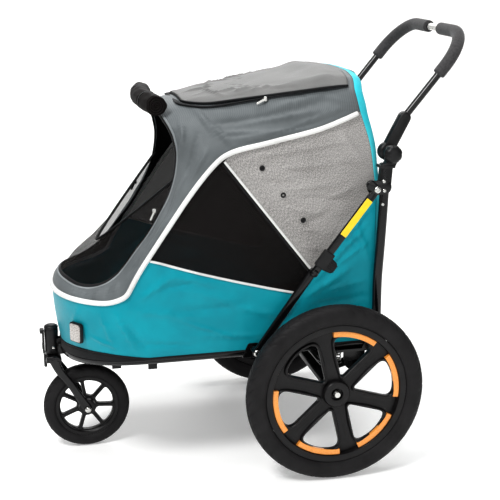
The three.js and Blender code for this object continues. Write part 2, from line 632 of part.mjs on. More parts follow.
function makeFork() {
  const stem = turnedZ([[0, 234], [8, 234], [8, 299], [0, 299]], HEAD_Y, 20);
  const crown = block([-33, 33], [HEAD_Y - 18, HEAD_Y + 20], [226, 239]);
  const shroud = block([-13, 13], [HEAD_Y - 20, HEAD_Y - 13], [209, 239]);
  const leg = [26, 33];
  const legs = [leg, [-33, -26]].map((side) => plateX(strap([HEAD_Y + 1, 228], FRONT_AXLE, 20), side));
  const axleHole = barX(5.1, [-40, 40], FRONT_AXLE, 14);
  add('front_fork', carve([stem, crown, shroud, ...legs], [axleHole]), BLACK_FRAME);
  const rod = barX(4.7, [-37, 37], FRONT_AXLE, 14);
  const nuts = [[33.3, 39], [-39, -33.3]].map((side) => barX(8, side, FRONT_AXLE, 6));
  add('front_axle', carve([rod, ...nuts]), CHROME);
}

// ---- wheels ----
const REAR_SPOKES = 6;
const REAR_SPOKE_ANGLE = 103 * Math.PI / 180;
const FRONT_SPOKES = 7;
const FRONT_SPOKE_ANGLE = 99 * Math.PI / 180;

/** Tyre section: a rounded crown that narrows to two beads on the rim. */
function tyreProfile(outer, inner, width) {
  const half = width / 2;
  const height = outer - inner;
  const sidewall = [[inner, half * 0.62], [inner + height * 0.35, half * 0.96], [inner + height * 0.62, half],
    [inner + height * 0.86, half * 0.78], [outer, half * 0.34]];
  return [...sidewall.map(([radius, x]) => [radius, -x]), ...sidewall.reverse()];
}

/** The opening between two neighbouring spokes: straight sides beside the spokes, an arc at the rim. */
function windowShape(count, index, startAngle, spokeHalf, inner, outer) {
  const middle = startAngle + (index + 0.5) * Math.PI * 2 / count;
  const reach = Math.PI / count;
  const swingAt = (radius) => reach - Math.asin(spokeHalf / radius);
  const at = (radius, angle) => [radius * Math.cos(angle), radius * Math.sin(angle)];
  const shape = new THREE.Shape();
  shape.moveTo(...at(inner, middle - swingAt(inner)));
  shape.lineTo(...at(outer, middle - swingAt(outer)));
  shape.absarc(0, 0, outer, middle - swingAt(outer), middle + swingAt(outer), false);
  shape.lineTo(...at(inner, middle + swingAt(inner)));
  return shape;
}

function makeRearWheels() {
  const centre = [0, REAR_WHEEL_RADIUS];
  const bead = 157;
  const x = REAR_TRACK_HALF;
  const seat = bead - FIT;
  const rimProfile = [[133, x - 14], [seat, x - 16], [seat, x + 16], [146, x + 16], [133, x + 12]];
  const rim = turnedX(rimProfile, centre, 48);
  const web = barX(136, [x - 4, x + 10], centre, 48);
  const hub = barX(31, [x - 22, x + 16], centre, 24);
  const windows = [0, 1, 2, 3, 4, 5].map((i) => {
    const shape = windowShape(REAR_SPOKES, i, REAR_SPOKE_ANGLE, 19.5, 47, 131);
    return plateX(shape, [x - 30, x + 30], 5).translate(0, ...centre);
  });
  const bore = barX(6.4, [200, 400], centre, 12);
  const capRecess = barX(13, [x + 11, x + 30], centre, 20);
  addPair('rear_rim', carve([rim, web, hub], [...windows, bore, capRecess]), BLACK_PLASTIC);
  const section = tyreProfile(REAR_WHEEL_RADIUS, bead, REAR_TYRE_WIDTH);
  addPair('rear_tyre', turnedX(section, centre, 48).translate(x, 0, 0), RUBBER);
}

function makeFrontWheel() {
  const bead = 70;
  const rim = turnedX([[66, -13], [bead - FIT, -13], [bead - FIT, 13], [66, 13]], FRONT_AXLE, 35);
  const web = barX(67, [-5, 5], FRONT_AXLE, 35);
  const hub = barX(20, [-23, 23], FRONT_AXLE, 16);
  const windows = [0, 1, 2, 3, 4, 5, 6].map((i) => {
    const shape = windowShape(FRONT_SPOKES, i, FRONT_SPOKE_ANGLE, 4, 24, 64);
    return plateX(shape, [-10, 10], 4).translate(0, ...FRONT_AXLE);
  });
  const bore = barX(5.1, [-40, 40], FRONT_AXLE, 14);
  add('front_rim', carve([rim, web, hub], [...windows, bore]), BLACK_PLASTIC);
  const section = tyreProfile(FRONT_WHEEL_RADIUS, bead, FRONT_TYRE_WIDTH);
  add('front_tyre', turnedX(section, FRONT_AXLE, 35), RUBBER);
}

// ---- rear axle, its springs and the brake ----
const REAR_AXLE = [0, REAR_WHEEL_RADIUS];
const ARM_X = [160, 170];
const SPRING_PLACE = { x: 165, y: 45, low: 226, high: 261 };
const BRAKE_BAR = [32, REAR_WHEEL_RADIUS - 16];

function makeSwingAxle() {
  const beam = barX(13, [-270, 270], REAR_AXLE, 14);
  const bothSides = ([x0, x1]) => [[x0, x1], [-x1, -x0]];
  const arms = bothSides(ARM_X).map((side) => plateX(strap(REAR_AXLE, SUSPENSION_PIVOT, 20), side));
  const seats = [1, -1].map((side) => new THREE.CylinderGeometry(12, 12, 6, 16).rotateX(Math.PI / 2)
    .translate(side * SPRING_PLACE.x, SPRING_PLACE.y, SPRING_PLACE.low - 3 - FIT));
  const bolts = bothSides([160, 192]).map((side) => barX(4.6, side, SUSPENSION_PIVOT, 12));
  const brakeTabs = bothSides([110, 116]).map((side) => plateX(strap(REAR_AXLE, BRAKE_BAR, 22), side));
  const brakeHole = barX(6.5, [-150, 150], BRAKE_BAR, 12);
  const bore = barX(6.4, [-300, 300], REAR_AXLE, 12);
  const parts = [beam, ...arms, ...seats, ...bolts, ...brakeTabs];
  add('swing_axle', carve(parts, [brakeHole, bore]), BLACK_FRAME);
  const shaft = barX(6, [-317, 317], REAR_AXLE, 12);
  const caps = [[309.5, 313], [-313, -309.5]].map((side) => barX(10, side, REAR_AXLE, 18));
  add('axle_shaft', carve([shaft, ...caps]), CHROME);
}

class Coil extends THREE.Curve {
  getPoint(t) {
    const turns = 4;
    const angle = t * turns * Math.PI * 2;
    const wire = 1.8;
    return new THREE.Vector3(
      SPRING_PLACE.x + 9 * Math.cos(angle),
      SPRING_PLACE.y + 9 * Math.sin(angle),
      lerp(SPRING_PLACE.low + wire + 0.2, SPRING_PLACE.high - wire - 0.2, t),
    );
  }
}

function makeSprings() {
  addPair('coil_spring', tube(new Coil(), 1.7, 36, 6), CHROME);
}

function makeBrake() {
  const bar = barX(6, [-258, 258], BRAKE_BAR, 14);
  const [y, z] = BRAKE_BAR;
  const pedal = plateX([[y - 4, z - 4], [y, z - 6], [y + 42, z + 6], [y + 66, z + 4], [y + 66, z + 10],
    [y + 42, z + 13], [y, z + 6]], [-42, 42]);
  const pawlShape = strap(BRAKE_BAR, [y + 4, z + 26], 13);
  const pawls = [[250, 258], [-258, -250]].map((side) => plateX(pawlShape, side));
  add('brake_pedal', carve([bar, pedal, ...pawls]), BLACK_PLASTIC);
}

makeBaseFrame();
makeBraceBrackets();
makeRearBrackets();
makeFloor();
makeSideWalls();
makeNose();
makeBib();
makeRoof();
makeRearWall();
makeReflectors();
makeUprights();
makeBraces();
makeLockCollars();
makeHandle();
makeHandleBrackets();
makeHead();
makeFork();
makeFrontWheel();
makeRearWheels();
makeSwingAxle();
makeSprings();
makeBrake();

export default stroller;
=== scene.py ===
# %% [markdown]
# # A folding pet stroller
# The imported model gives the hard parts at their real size: tubes, pivots, wheels and plain stand-ins for
# the cloth. This lesson builds what the eye sees around it. Almost every piece is a surface worked out with
# numpy: either a function of two parameters on a grid, or a profile carried along a path. The frame is
# loaded first, because every later piece takes its place from it.

import bpy
import numpy as np
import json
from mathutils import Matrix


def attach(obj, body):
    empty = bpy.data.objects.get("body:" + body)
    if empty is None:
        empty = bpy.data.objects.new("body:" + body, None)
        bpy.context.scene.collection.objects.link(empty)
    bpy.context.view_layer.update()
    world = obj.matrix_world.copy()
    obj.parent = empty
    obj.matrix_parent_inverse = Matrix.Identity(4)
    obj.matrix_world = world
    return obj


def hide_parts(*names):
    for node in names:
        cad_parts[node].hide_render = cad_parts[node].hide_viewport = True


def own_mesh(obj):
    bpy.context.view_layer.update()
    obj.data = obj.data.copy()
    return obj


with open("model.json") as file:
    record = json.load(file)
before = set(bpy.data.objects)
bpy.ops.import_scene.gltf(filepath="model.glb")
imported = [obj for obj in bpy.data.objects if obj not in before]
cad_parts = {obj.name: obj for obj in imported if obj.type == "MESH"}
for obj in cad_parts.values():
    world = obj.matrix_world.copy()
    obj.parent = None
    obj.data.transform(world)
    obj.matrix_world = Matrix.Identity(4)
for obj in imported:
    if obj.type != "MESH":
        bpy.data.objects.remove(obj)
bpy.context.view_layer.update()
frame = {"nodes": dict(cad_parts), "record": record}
joint_at = {joint["name"]: joint.get("pos_m") for joint in frame["record"]["behaviour"]["joints"]}
AXLE_Y = joint_at["rear_wheel_spin_left"][1]

# %% [markdown]
# ## Units and grids
# The maker thinks in millimetres from the point on the floor under the rear axle: x to the stroller's left,
# y to the back and z up. One function turns such points into metres in the model's own frame. A grid of
# points becomes a mesh in one step. The faces are quads between neighbouring rows and columns, and the UV
# map is the running length along both, in metres, so a weave keeps its real scale whatever the piece's
# size.

# %% Points in millimetres to metres in the frame
MM = 0.001
FLIP = np.array([-1.0, 1.0, 1.0])          # turns a point over to the other side of the stroller


def to_frame(points):
    """Millimetres from the rear axle's foot to metres in the model's frame: scaled, then moved along y."""
    return np.asarray(points, float) * MM + np.array([0.0, AXLE_Y, 0.0])


# %% A grid of points as a mesh
def running_length(grid, axis):
    """Mean distance covered along one axis of a grid, summed from its start, in metres."""
    steps = np.linalg.norm(np.diff(grid, axis=axis), axis=2).mean(axis=1 - axis)
    return np.concatenate([[0.0], np.cumsum(steps)]) * MM


def surface(name, grid, around=False, ring=False, caps=False, mirror=False):
    """A mesh through a (rows, columns, 3) grid in mm. Columns x rows point outward.

    around joins the last column to the first, ring joins the last row to the first, caps closes both end rows
    with a flat face, and mirror reflects the piece to the other side of the stroller.
    """
    grid = np.asarray(grid, float)
    rows, columns = grid.shape[:2]
    row_ends = rows if ring else rows - 1
    column_ends = columns if around else columns - 1
    i, j = np.meshgrid(np.arange(row_ends), np.arange(column_ends), indexing="ij")
    below, right = (i + 1) % rows, (j + 1) % columns
    quads = np.stack([i * columns + j, i * columns + right, below * columns + right, below * columns + j], -1)
    quads = quads.reshape(-1, 4)
    wide = np.concatenate([grid, grid[:, :1]], axis=1) if around else grid
    tall = np.concatenate([wide, wide[:1]], axis=0) if ring else wide
    u, v = running_length(tall, 1), running_length(tall, 0)
    corner_u = np.stack([u[j], u[j + 1], u[j + 1], u[j]], -1)
    corner_v = np.stack([v[i], v[i], v[i + 1], v[i + 1]], -1)
    uv = np.stack([corner_u, corner_v], -1).reshape(-1, 2)
    if mirror:
        grid = grid * FLIP
        quads = quads[:, ::-1]
        uv = uv.reshape(-1, 4, 2)[:, ::-1].reshape(-1, 2)
    faces = quads.tolist()
    if caps:
        first = np.arange(columns)[::-1]
        last = np.arange(columns) + (rows - 1) * columns
        ends = [first, last] if not mirror else [first[::-1], last[::-1]]
        faces += [end.tolist() for end in ends]
        flat = np.concatenate([grid.reshape(-1, 3)[end][:, 1:] for end in ends]) * MM
        uv = np.concatenate([uv, flat])
    return mesh_piece(name, grid.reshape(-1, 3), faces, uv)


def mesh_piece(name, points, faces, uv=None):
    """An object at the origin whose mesh has these points in mm, these faces and one UV per face corner."""
    mesh = bpy.data.meshes.new(name)
    mesh.from_pydata(to_frame(points).tolist(), [], faces)
    if uv is not None:
        mesh.uv_layers.new(name="cloth").data.foreach_set("uv", np.asarray(uv, np.float32).ravel())
    mesh.polygons.foreach_set("use_smooth", np.ones(len(mesh.polygons), bool))
    mesh.update()
    piece = bpy.data.objects.new(name, mesh)
    bpy.context.scene.collection.objects.link(piece)
    return piece


# %% Smooth lines through a few points
def spline(points, t):
    """Smooth line through points: each is left along the line between its two neighbours. t is 0 to 1 by
    length."""
    points = np.asarray(points, float)
    knots = np.concatenate([[0.0], np.cumsum(np.linalg.norm(np.diff(points, axis=0), axis=1))])
    place = np.clip(np.asarray(t, float), 0, 1) * knots[-1]
    k = np.clip(np.searchsorted(knots, place, side="right") - 1, 0, len(points) - 2)
    span = knots[k + 1] - knots[k]
    s = ((place - knots[k]) / span)[..., None]
    slope = np.gradient(points, knots, axis=0)
    start, end = points[k], points[k + 1]
    leave, arrive = slope[k] * span[..., None], slope[k + 1] * span[..., None]
    return ((2 * s**3 - 3 * s**2 + 1) * start + (s**3 - 2 * s**2 + s) * leave
            + (3 * s**2 - 2 * s**3) * end + (s**3 - s**2) * arrive)


def evenly(points, count):
    """The same line with its points spread evenly by length, straight between the given ones."""
    points = np.asarray(points, float)
    length = np.concatenate([[0.0], np.cumsum(np.linalg.norm(np.diff(points, axis=0), axis=1))])
    t = np.linspace(0, length[-1], count)
    return np.stack([np.interp(t, length, points[:, axis]) for axis in range(3)], -1)


# %% A profile carried along a path
def sweep(path, section, upward=(0, 0, 1)):
    """Each section point (a, b) sits a to the path's side and b above it, square to the path's direction."""
    path, section = np.asarray(path, float), np.asarray(section, float)
    forward = np.gradient(path, axis=0)
    forward /= np.linalg.norm(forward, axis=1, keepdims=True)
    side = np.cross(np.asarray(upward, float), forward)
    side /= np.linalg.norm(side, axis=1, keepdims=True)
    above = np.cross(forward, side)
    section = np.broadcast_to(section, (len(path),) + section.shape[-2:])
    return path[:, None] + section[..., :1] * side[:, None] + section[..., 1:] * above[:, None]


def circle(radius, sides=20, squash=1.0):
    """Points round a circle, anticlockwise; squash flattens it."""
    angle = np.linspace(0, 2 * np.pi, sides, endpoint=False)
    return np.stack([radius * np.cos(angle), radius * squash * np.sin(angle)], -1)


def tube(name, path, radius, sides=20, upward=(0, 0, 1), squash=1.0, mirror=False):
    """A round bar along a path. Its two end stations are drawn in a little, which rounds the cut ends."""
    path = np.asarray(path, float)
    start, end = path[0] - path[1], path[-1] - path[-2]
    lead = 0.25 * np.max(radius)
    path = np.concatenate([[path[0]], [path[0] - start / np.linalg.norm(start) * lead], path[1:-1],
                           [path[-1] - end / np.linalg.norm(end) * lead], [path[-1]]])
    radii = np.broadcast_to(radius, len(path) - 2)
    radii = np.concatenate([[radii[0] * 0.8], radii, [radii[-1] * 0.8]])
    section = circle(1.0, sides, squash)[None] * radii[:, None, None]
    return surface(name, sweep(path, section, upward), around=True, caps=True, mirror=mirror)


# %% Bodies of revolution round an axle, and plates cut from sheet
def turned(name, profile, centre=(0, 0), sides=64, ring=False, axis="x", mirror=False):
    """A (radius, offset) profile spun round an axle along x, or round an upright axis when axis is z."""
    profile = np.asarray(profile, float)
    angle = np.linspace(0, 2 * np.pi, sides, endpoint=False)
    radius, offset = profile[:, :1], np.broadcast_to(profile[:, 1:], (len(profile), sides))
    if axis == "x":
        grid = np.stack([offset, centre[0] + radius * np.cos(angle), centre[1] + radius * np.sin(angle)], -1)
    else:
        grid = np.stack([radius * np.cos(angle) + centre[0], centre[1] + radius * np.sin(angle), offset], -1)
    return surface(name, grid, around=True, ring=ring, caps=not ring, mirror=mirror)


def rounded(corners, radius, steps=6):
    """A [y, z] outline, anticlockwise, with each corner replaced by a quarter-curve of the given radius."""
    corners = np.asarray(corners, float)
    radius = np.broadcast_to(radius, len(corners))
    before, after = np.roll(corners, 1, 0) - corners, np.roll(corners, -1, 0) - corners
    lengths = np.linalg.norm(before, axis=1), np.linalg.norm(after, axis=1)
    reach = np.minimum(radius, 0.48 * np.minimum(*lengths))[:, None]
    a = corners + before / lengths[0][:, None] * reach
    b = corners + after / lengths[1][:, None] * reach
    t = np.linspace(0, 1, steps)[None, :, None]
    curve = (1 - t) ** 2 * a[:, None] + 2 * t * (1 - t) * corners[:, None] + t**2 * b[:, None]
    return curve.reshape(-1, 2)


def shrunk(outline, distance):
    """An anticlockwise outline moved inward along the mean direction of its two neighbouring edges."""
    forward = np.roll(outline, -1, 0) - np.roll(outline, 1, 0)
    forward /= np.linalg.norm(forward, axis=1, keepdims=True) + 1e-9
    return outline + distance * np.stack([-forward[:, 1], forward[:, 0]], -1)


def plate(name, outline, span, edge=1.0, mirror=False):
    """A plate between two x planes. Near both faces its outline is drawn in along a quarter-circle."""
    turn = np.linspace(0, np.pi / 2, 4)
    rise, inward = edge * (1 - np.sin(turn))[::-1], edge * (1 - np.cos(turn))
    x = np.concatenate([span[0] + rise, (span[1] - rise)[::-1]])
    inward = np.concatenate([inward[::-1], inward])
    loops = np.stack([shrunk(outline, step) for step in inward])
    grid = np.concatenate([np.broadcast_to(x[:, None, None], loops.shape[:2] + (1,)), loops], -1)
    return surface(name, grid, around=True, caps=True, mirror=mirror)


def strap(start, end, width, steps=10):
    """Outline of a bar with round ends between two [y, z] points, anticlockwise."""
    start, end = np.asarray(start, float), np.asarray(end, float)
    heading = np.arctan2(*(end - start)[::-1])
    turn = np.linspace(-np.pi / 2, np.pi / 2, steps)
    nose = end + width / 2 * np.stack([np.cos(heading + turn), np.sin(heading + turn)], -1)
    tail = start - width / 2 * np.stack([np.cos(heading + turn), np.sin(heading + turn)], -1)
    return np.concatenate([nose, tail])


SIDES = (("left", False), ("right", True))

# %% [markdown]
# ## Camera, floor and light
# The camera stands off the stroller's front left corner, a little above the roof, with a short telephoto
# lens. It comes before the pieces so that every look is judged from the same place. The floor runs up into
# a plain backdrop, and three large soft lights give the even, shadow-poor light of a catalogue picture.

# %% Camera
from mathutils import Euler, Vector

CAMERA_AT = (2506.6, -716.5, 1176.2)      # mm from the rear axle's foot
CAMERA_TURN = (74.415, 0.0, 76.698)       # degrees: up from straight down, roll, round the upright axis
camera_data = bpy.data.cameras.new("camera")
camera_data.lens = 80.78
camera_data.sensor_width = 36.0
camera_data.clip_end = 50.0
camera = bpy.data.objects.new("camera", camera_data)
camera.location = to_frame(CAMERA_AT)
camera.rotation_euler = Euler(np.radians(CAMERA_TURN), "XYZ")
bpy.context.scene.collection.objects.link(camera)
bpy.context.scene.camera = camera
print("camera at", [round(value, 3) for value in camera.location])


# %% Colours and nodes
def linear(hex_colour):
    """An sRGB hex colour as linear RGBA: each channel's sRGB curve undone."""
    channels = np.array([int(hex_colour[i:i + 2], 16) for i in (1, 3, 5)]) / 255
    straight = np.where(channels <= 0.04045, channels / 12.92, ((channels + 0.055) / 1.055) ** 2.4)
    return (*straight.tolist(), 1.0)


def add(material, kind, inputs=(), **settings):
    """Adds one node. settings are its properties; inputs maps a socket to a value or another node's
    output."""
    node = material.node_tree.nodes.new(kind)
    for key, value in settings.items():
        setattr(node, key, value)
    for socket, value in dict(inputs).items():
        if isinstance(value, bpy.types.NodeSocket):
            material.node_tree.links.new(value, node.inputs[socket])
        else:
            node.inputs[socket].default_value = value
    return node


def new_material(name, **constants):
    """An empty material with one Principled shader; constants are set straight on its sockets."""
    material = bpy.data.materials.new(name)
    material.use_nodes = True
    shader = material.node_tree.nodes["Principled BSDF"]
    for socket, value in constants.items():
        shader.inputs[socket.replace("_", " ")].default_value = value
    return material, shader


def link(material, output, shader, socket):
    """Joins a node's output to one of the shader's sockets."""
    material.node_tree.links.new(output, shader.inputs[socket])


# %% Floor, backdrop and lights
def plain_stage():
    """A floor that bends up into a wall: a straight run, a quarter-circle and a straight rise."""
    bend = np.linspace(0, np.pi / 2, 16)
    curve = np.stack([3.0 + 1.5 * np.sin(bend), 1.5 - 1.5 * np.cos(bend)], -1)
    profile = np.concatenate([[[-5.0, 0.0]], curve, [[4.5, 6.0]]])
    heading = np.radians(CAMERA_TURN[2])
    away = np.array([-np.sin(heading), np.cos(heading), 0.0])
    across = np.array([np.cos(heading), np.sin(heading), 0.0])
    width = np.linspace(-7, 7, 2)
    grid = (profile[:, :1, None] * away + width[None, :, None] * across
            + profile[:, 1:, None] * np.array([0, 0, 1.0]))
    floor = surface("studio_floor", (grid - np.array([0, AXLE_Y, 0])) / MM)
    paper, _ = new_material("studio_paper", Base_Color=linear("#f4f4f3"), Roughness=0.9,
                            Emission_Color=linear("#ffffff"), Emission_Strength=0.22)
    floor.data.materials.append(paper)


def soft_light(name, place, aim, size, power):
    """A square lamp of a size in metres and a power in watts that faces a point."""
    lamp = bpy.data.lights.new(name, "AREA")
    lamp.energy = power
    lamp.size = size
    holder = bpy.data.objects.new(name, lamp)
    holder.location = place
    holder.rotation_euler = (Vector(aim) - Vector(place)).to_track_quat("-Z", "Y").to_euler()
    bpy.context.scene.collection.objects.link(holder)


plain_stage()
soft_light("key", (1.7, -1.9, 3.6), (0, 0, 0.45), 1.1, 105)
soft_light("fill", (3.4, 0.6, 1.5), (0, 0, 0.4), 2.6, 26)
soft_light("top", (-0.3, 0.2, 3.8), (0, 0, 0.3), 1.5, 62)
soft_light("back", (-3.6, 0.6, 2.6), (0, 0, 0.5), 2.4, 34)
world = bpy.data.worlds.new("studio")
world.use_nodes = True
world.node_tree.nodes["Background"].inputs["Color"].default_value = linear("#ffffff")
world.node_tree.nodes["Background"].inputs["Strength"].default_value = 0.2
bpy.context.scene.world = world
bpy.context.scene.view_settings.view_transform = "Standard"
bpy.context.scene.view_settings.look = "Medium High Contrast"

# %% [markdown]
# ## Hard finishes
# The frame is steel tube with gloss black stove enamel: a dark base under a clear, slightly rippled skin.
# The brackets are injection-moulded nylon, satin from the sparked texture of the mould. Bright bolts and
# springs are zinc-plated steel. Each finish gets its fine pattern in Object coordinates, in metres, so a
# pattern's scale is one over its real size.

# %% Enamel, nylon and bright steel
def rough_skin(material, shader, size_mm, strength, depth_mm=0.1):
    """A fine noise whose grains have the given size, pressed into the surface. Returns the pattern's
    place."""
    place = add(material, "ShaderNodeTexCoord")
    grain = add(material, "ShaderNodeTexNoise", {"Vector": place.outputs["Object"], "Scale": 1000.0 / size_mm,
                                                 "Detail": 3.0, "Roughness": 0.6})
    bump = add(material, "ShaderNodeBump", {"Height": grain.outputs["Fac"], "Strength": strength,
                                            "Distance": depth_mm * MM})
    link(material, bump.outputs["Normal"], shader, "Normal")
    return place


def mottled(material, shader, place, colours, size_mm):
    """Two close colours that drift into each other over patches of the given size."""
    patches = add(material, "ShaderNodeTexNoise", {"Vector": place.outputs["Object"],
                                                   "Scale": 1000.0 / size_mm, "Detail": 4.0})
    ramp = add(material, "ShaderNodeValToRGB", {"Fac": patches.outputs["Fac"]})
    for stop, where, colour in zip(ramp.color_ramp.elements, (0.3, 0.7), colours):
        stop.position = where
        stop.color = linear(colour)
    link(material, ramp.outputs["Color"], shader, "Base Color")


def black_enamel():
    """Stove enamel on steel: deep black, glossy, with the faint ripple of sprayed paint."""
    material, shader = new_material("black_stove_enamel", Roughness=0.2, IOR=1.36, Coat_Weight=0.2,
                                    Coat_Roughness=0.06)
    place = rough_skin(material, shader, 6.0, 0.08)
    mottled(material, shader, place, ("#09090a", "#101012"), 60)
    return material


def moulded_nylon(name="moulded_nylon", dark="#131314", light="#1d1d1e", roughness=0.42):
    """Injection-moulded nylon: satin black, with the sparked grain of the mould about 0.8 mm across."""
    material, shader = new_material(name, Roughness=roughness, IOR=1.36)
    place = rough_skin(material, shader, 0.8, 0.25)
    mottled(material, shader, place, (dark, light), 25)
    return material


def bright_steel():
    """Zinc-plated steel: bright metal with short brushed streaks that vary its gloss."""
    material, shader = new_material("zinc_plated_steel", Metallic=1.0, Base_Color=linear("#c9c9c6"))
    place = add(material, "ShaderNodeTexCoord")
    streaks = add(material, "ShaderNodeTexNoise", {"Vector": place.outputs["Object"], "Scale": 400.0,
                                                   "Detail": 4.0})
    gloss = add(material, "ShaderNodeMapRange", {"Value": streaks.outputs["Fac"], "To Min": 0.14,
                                                 "To Max": 0.36})
    link(material, gloss.outputs["Result"], shader, "Roughness")
    return material


def tyre_rubber():
    """Vulcanised rubber with carbon black: matt, slightly dusty, with a pale bloom in large patches."""
    material, shader = new_material("tyre_rubber", Roughness=0.62, IOR=1.3)
    place = rough_skin(material, shader, 1.2, 0.3)
    mottled(material, shader, place, ("#191819", "#242324"), 40)
    return material


def grip_foam():
    """Closed-cell foam rubber: soft dark grey with open pores about 1 mm across."""
    material, shader = new_material("grip_foam", Roughness=0.92, Sheen_Weight=0.15)
    place = rough_skin(material, shader, 1.1, 0.5, 0.3)
    mottled(material, shader, place, ("#323132", "#444344"), 5)
    return material


ENAMEL, NYLON, STEEL = black_enamel(), moulded_nylon(), bright_steel()
RUBBER, FOAM = tyre_rubber(), grip_foam()
RIM_NYLON = moulded_nylon("rim_nylon", "#100f10", "#191819", 0.4)
print("hard finishes made")


# %% Giving a piece its body, its finish and the CAD nodes it stands for
def finish_piece(piece, body, material, slot, *nodes):
    """The piece rides on a body, wears a material and stands for CAD nodes, which it hides; slot is not used.
    """
    piece.data.materials.clear()
    piece.data.materials.append(material)
    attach(piece, body)
    if nodes:
        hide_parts(*nodes)
    return piece


def creased(piece, degrees=35):
    """Marks edges sharper than an angle as hard, so that flats stay flat under smooth shading."""
    piece.data.set_sharp_from_angle(angle=np.radians(degrees))
    return piece


# %% [markdown]
# ## Wheels
# The rims are moulded nylon with wide spokes, the tyres are air tyres with a shallow road tread. A rim web
# could be cut from a disc with booleans, but then its edges are hard to soften. Here each opening is a
# closed loop, the outline round it (two spoke ridges, the rim and the hub) is another, and the web is the
# surface between them. Its height depends only on how far a point has gone from the opening to the ridge,
# which gives soft edges and a raised rib down the middle of each spoke.

# %% Tyres
REAR_CENTRE = np.array([0.0, 203.2])
FRONT_CENTRE = np.array([-524.6, 101.6])


def tyre(name, centre, offset, outer, inner, width, tread_pitches, mirror=False):
    """Section: a rounded crown narrowing to two beads. Tread: grooves that slant across each shoulder."""
    turn = np.linspace(1.28 * np.pi, -0.28 * np.pi, 50)
    half_height = (outer - inner) / 2
    shape = np.abs(np.cos(turn)) ** 0.8 * np.sign(np.cos(turn))
    crown = np.abs(np.sin(turn)) ** 0.9 * np.sign(np.sin(turn))
    x = width / 2 * shape
    radius = np.maximum((outer + inner) / 2 + half_height * crown, inner)
    around = np.linspace(0, 2 * np.pi, 720, endpoint=False)
    across = x / (width / 2)
    shoulder = np.exp(-((np.abs(across) - 0.74) / 0.3) ** 2) * (crown > 0.1)
    slant = tread_pitches * around[None] + 9.0 * np.abs(across)[:, None]
    groove = np.clip((np.cos(slant) - 0.8) / 0.12, 0, 1) * shoulder[:, None]
    chevron = tread_pitches * 2 * around[None] - 7.0 * across[:, None]
    centre_band = ((np.abs(across) < 0.4) & (crown > 0.6))[:, None]
    lines = np.clip((np.cos(chevron) - 0.86) / 0.1, 0, 1) * centre_band
    channel = np.exp(-((np.abs(across) - 0.44) / 0.035) ** 2) * (crown > 0.5)
    depth = 3.0 * np.maximum(groove, 0.6 * lines) + 1.3 * channel[:, None]
    bands = 0.5 * np.exp(-((radius - (inner + 0.30 * (outer - inner))) / 1.1) ** 2) * (crown < 0.4)
    r = radius[:, None] - depth * np.maximum(crown, 0)[:, None] ** 0.6
    out = x[:, None] + (np.sign(x) * bands)[:, None] + offset
    grid = np.stack([out + 0 * around, centre[0] + r * np.cos(around), centre[1] + r * np.sin(around)], -1)
    return surface(name, grid, around=True, ring=True, mirror=mirror)


# %% Spoked webs
def opening_outline(count, spoke_half, inner, outer, corners, samples=96):
    """Outline of one opening, its middle on angle 0: two straight sides a fixed distance from the spokes'
    middles, a bow beside the rim and a short side at the hub, with all corners rounded."""
    def half_swing(radius):
        return np.pi / count - np.arcsin(spoke_half / radius)
    rim_turn = np.linspace(-half_swing(outer), half_swing(outer), 3)
    hub_turn = np.array([half_swing(inner), -half_swing(inner)])
    turn = np.concatenate([rim_turn, hub_turn])
    radius = np.array([outer, 1.03 * outer, outer, inner, inner])
    loop = rounded(np.stack([radius * np.cos(turn), radius * np.sin(turn)], -1),
                   [corners[0], outer, corners[0], corners[1], corners[1]], 12)
    closed = np.concatenate([loop, loop[:1]])
    length = np.concatenate([[0.0], np.cumsum(np.linalg.norm(np.diff(closed, axis=0), axis=1))])
    even = np.linspace(0, length[-1], samples, endpoint=False)
    return np.stack([np.interp(even, length, closed[:, k]) for k in (0, 1)], -1)


def spoked_web(name, centre, offset, count, start, hub, rim, outline, front, back, mirror=False):
    """One closed ring of surface round each opening. A point on the opening's edge moves straight away from
    the opening's middle until it meets a spoke's middle, the rim or the hub; front and back are lists of
    (distance moved, height along x), which make the ribs."""
    reach = np.pi / count
    middle = np.array([(hub + rim) * 0.52, 0.0])
    away = outline - middle
    length = np.linalg.norm(away, axis=1, keepdims=True)
    ray = away / length
    steps = np.linspace(0, 2.0 * rim, 1600)
    probe = middle + steps[:, None, None] * ray[None]
    distance = np.hypot(probe[..., 0], probe[..., 1])
    inside = (distance < rim) & (distance > hub)
    inside &= np.abs(probe[..., 1]) * np.cos(reach) < probe[..., 0] * np.sin(reach)
    room = steps[np.argmin(inside, axis=0)][:, None] - length
    rows = back[::-1] + front
    flat = np.stack([outline + np.minimum(moved, room) * ray for moved, _ in rows])
    x = np.array([height for _, height in rows])[:, None] + offset
    rings = []
    for index in range(count):
        turn = start + (index + 0.5) * 2 * np.pi / count
        y = flat[..., 0] * np.cos(turn) - flat[..., 1] * np.sin(turn) + centre[0]
        z = flat[..., 0] * np.sin(turn) + flat[..., 1] * np.cos(turn) + centre[1]
        grid = np.stack([np.broadcast_to(x, y.shape), y, z], -1)[:, ::-1]
        rings.append(surface(f"{name}_{index}", grid, around=True, ring=True, mirror=mirror))
    return rings


def joined(name, pieces):
    """Several pieces as one object under one name."""
    bpy.ops.object.select_all(action="DESELECT")
    for piece in pieces:
        piece.select_set(True)
    bpy.context.view_layer.objects.active = pieces[0]
    bpy.ops.object.join()
    pieces[0].name = name
    pieces[0].data.name = name
    return pieces[0]


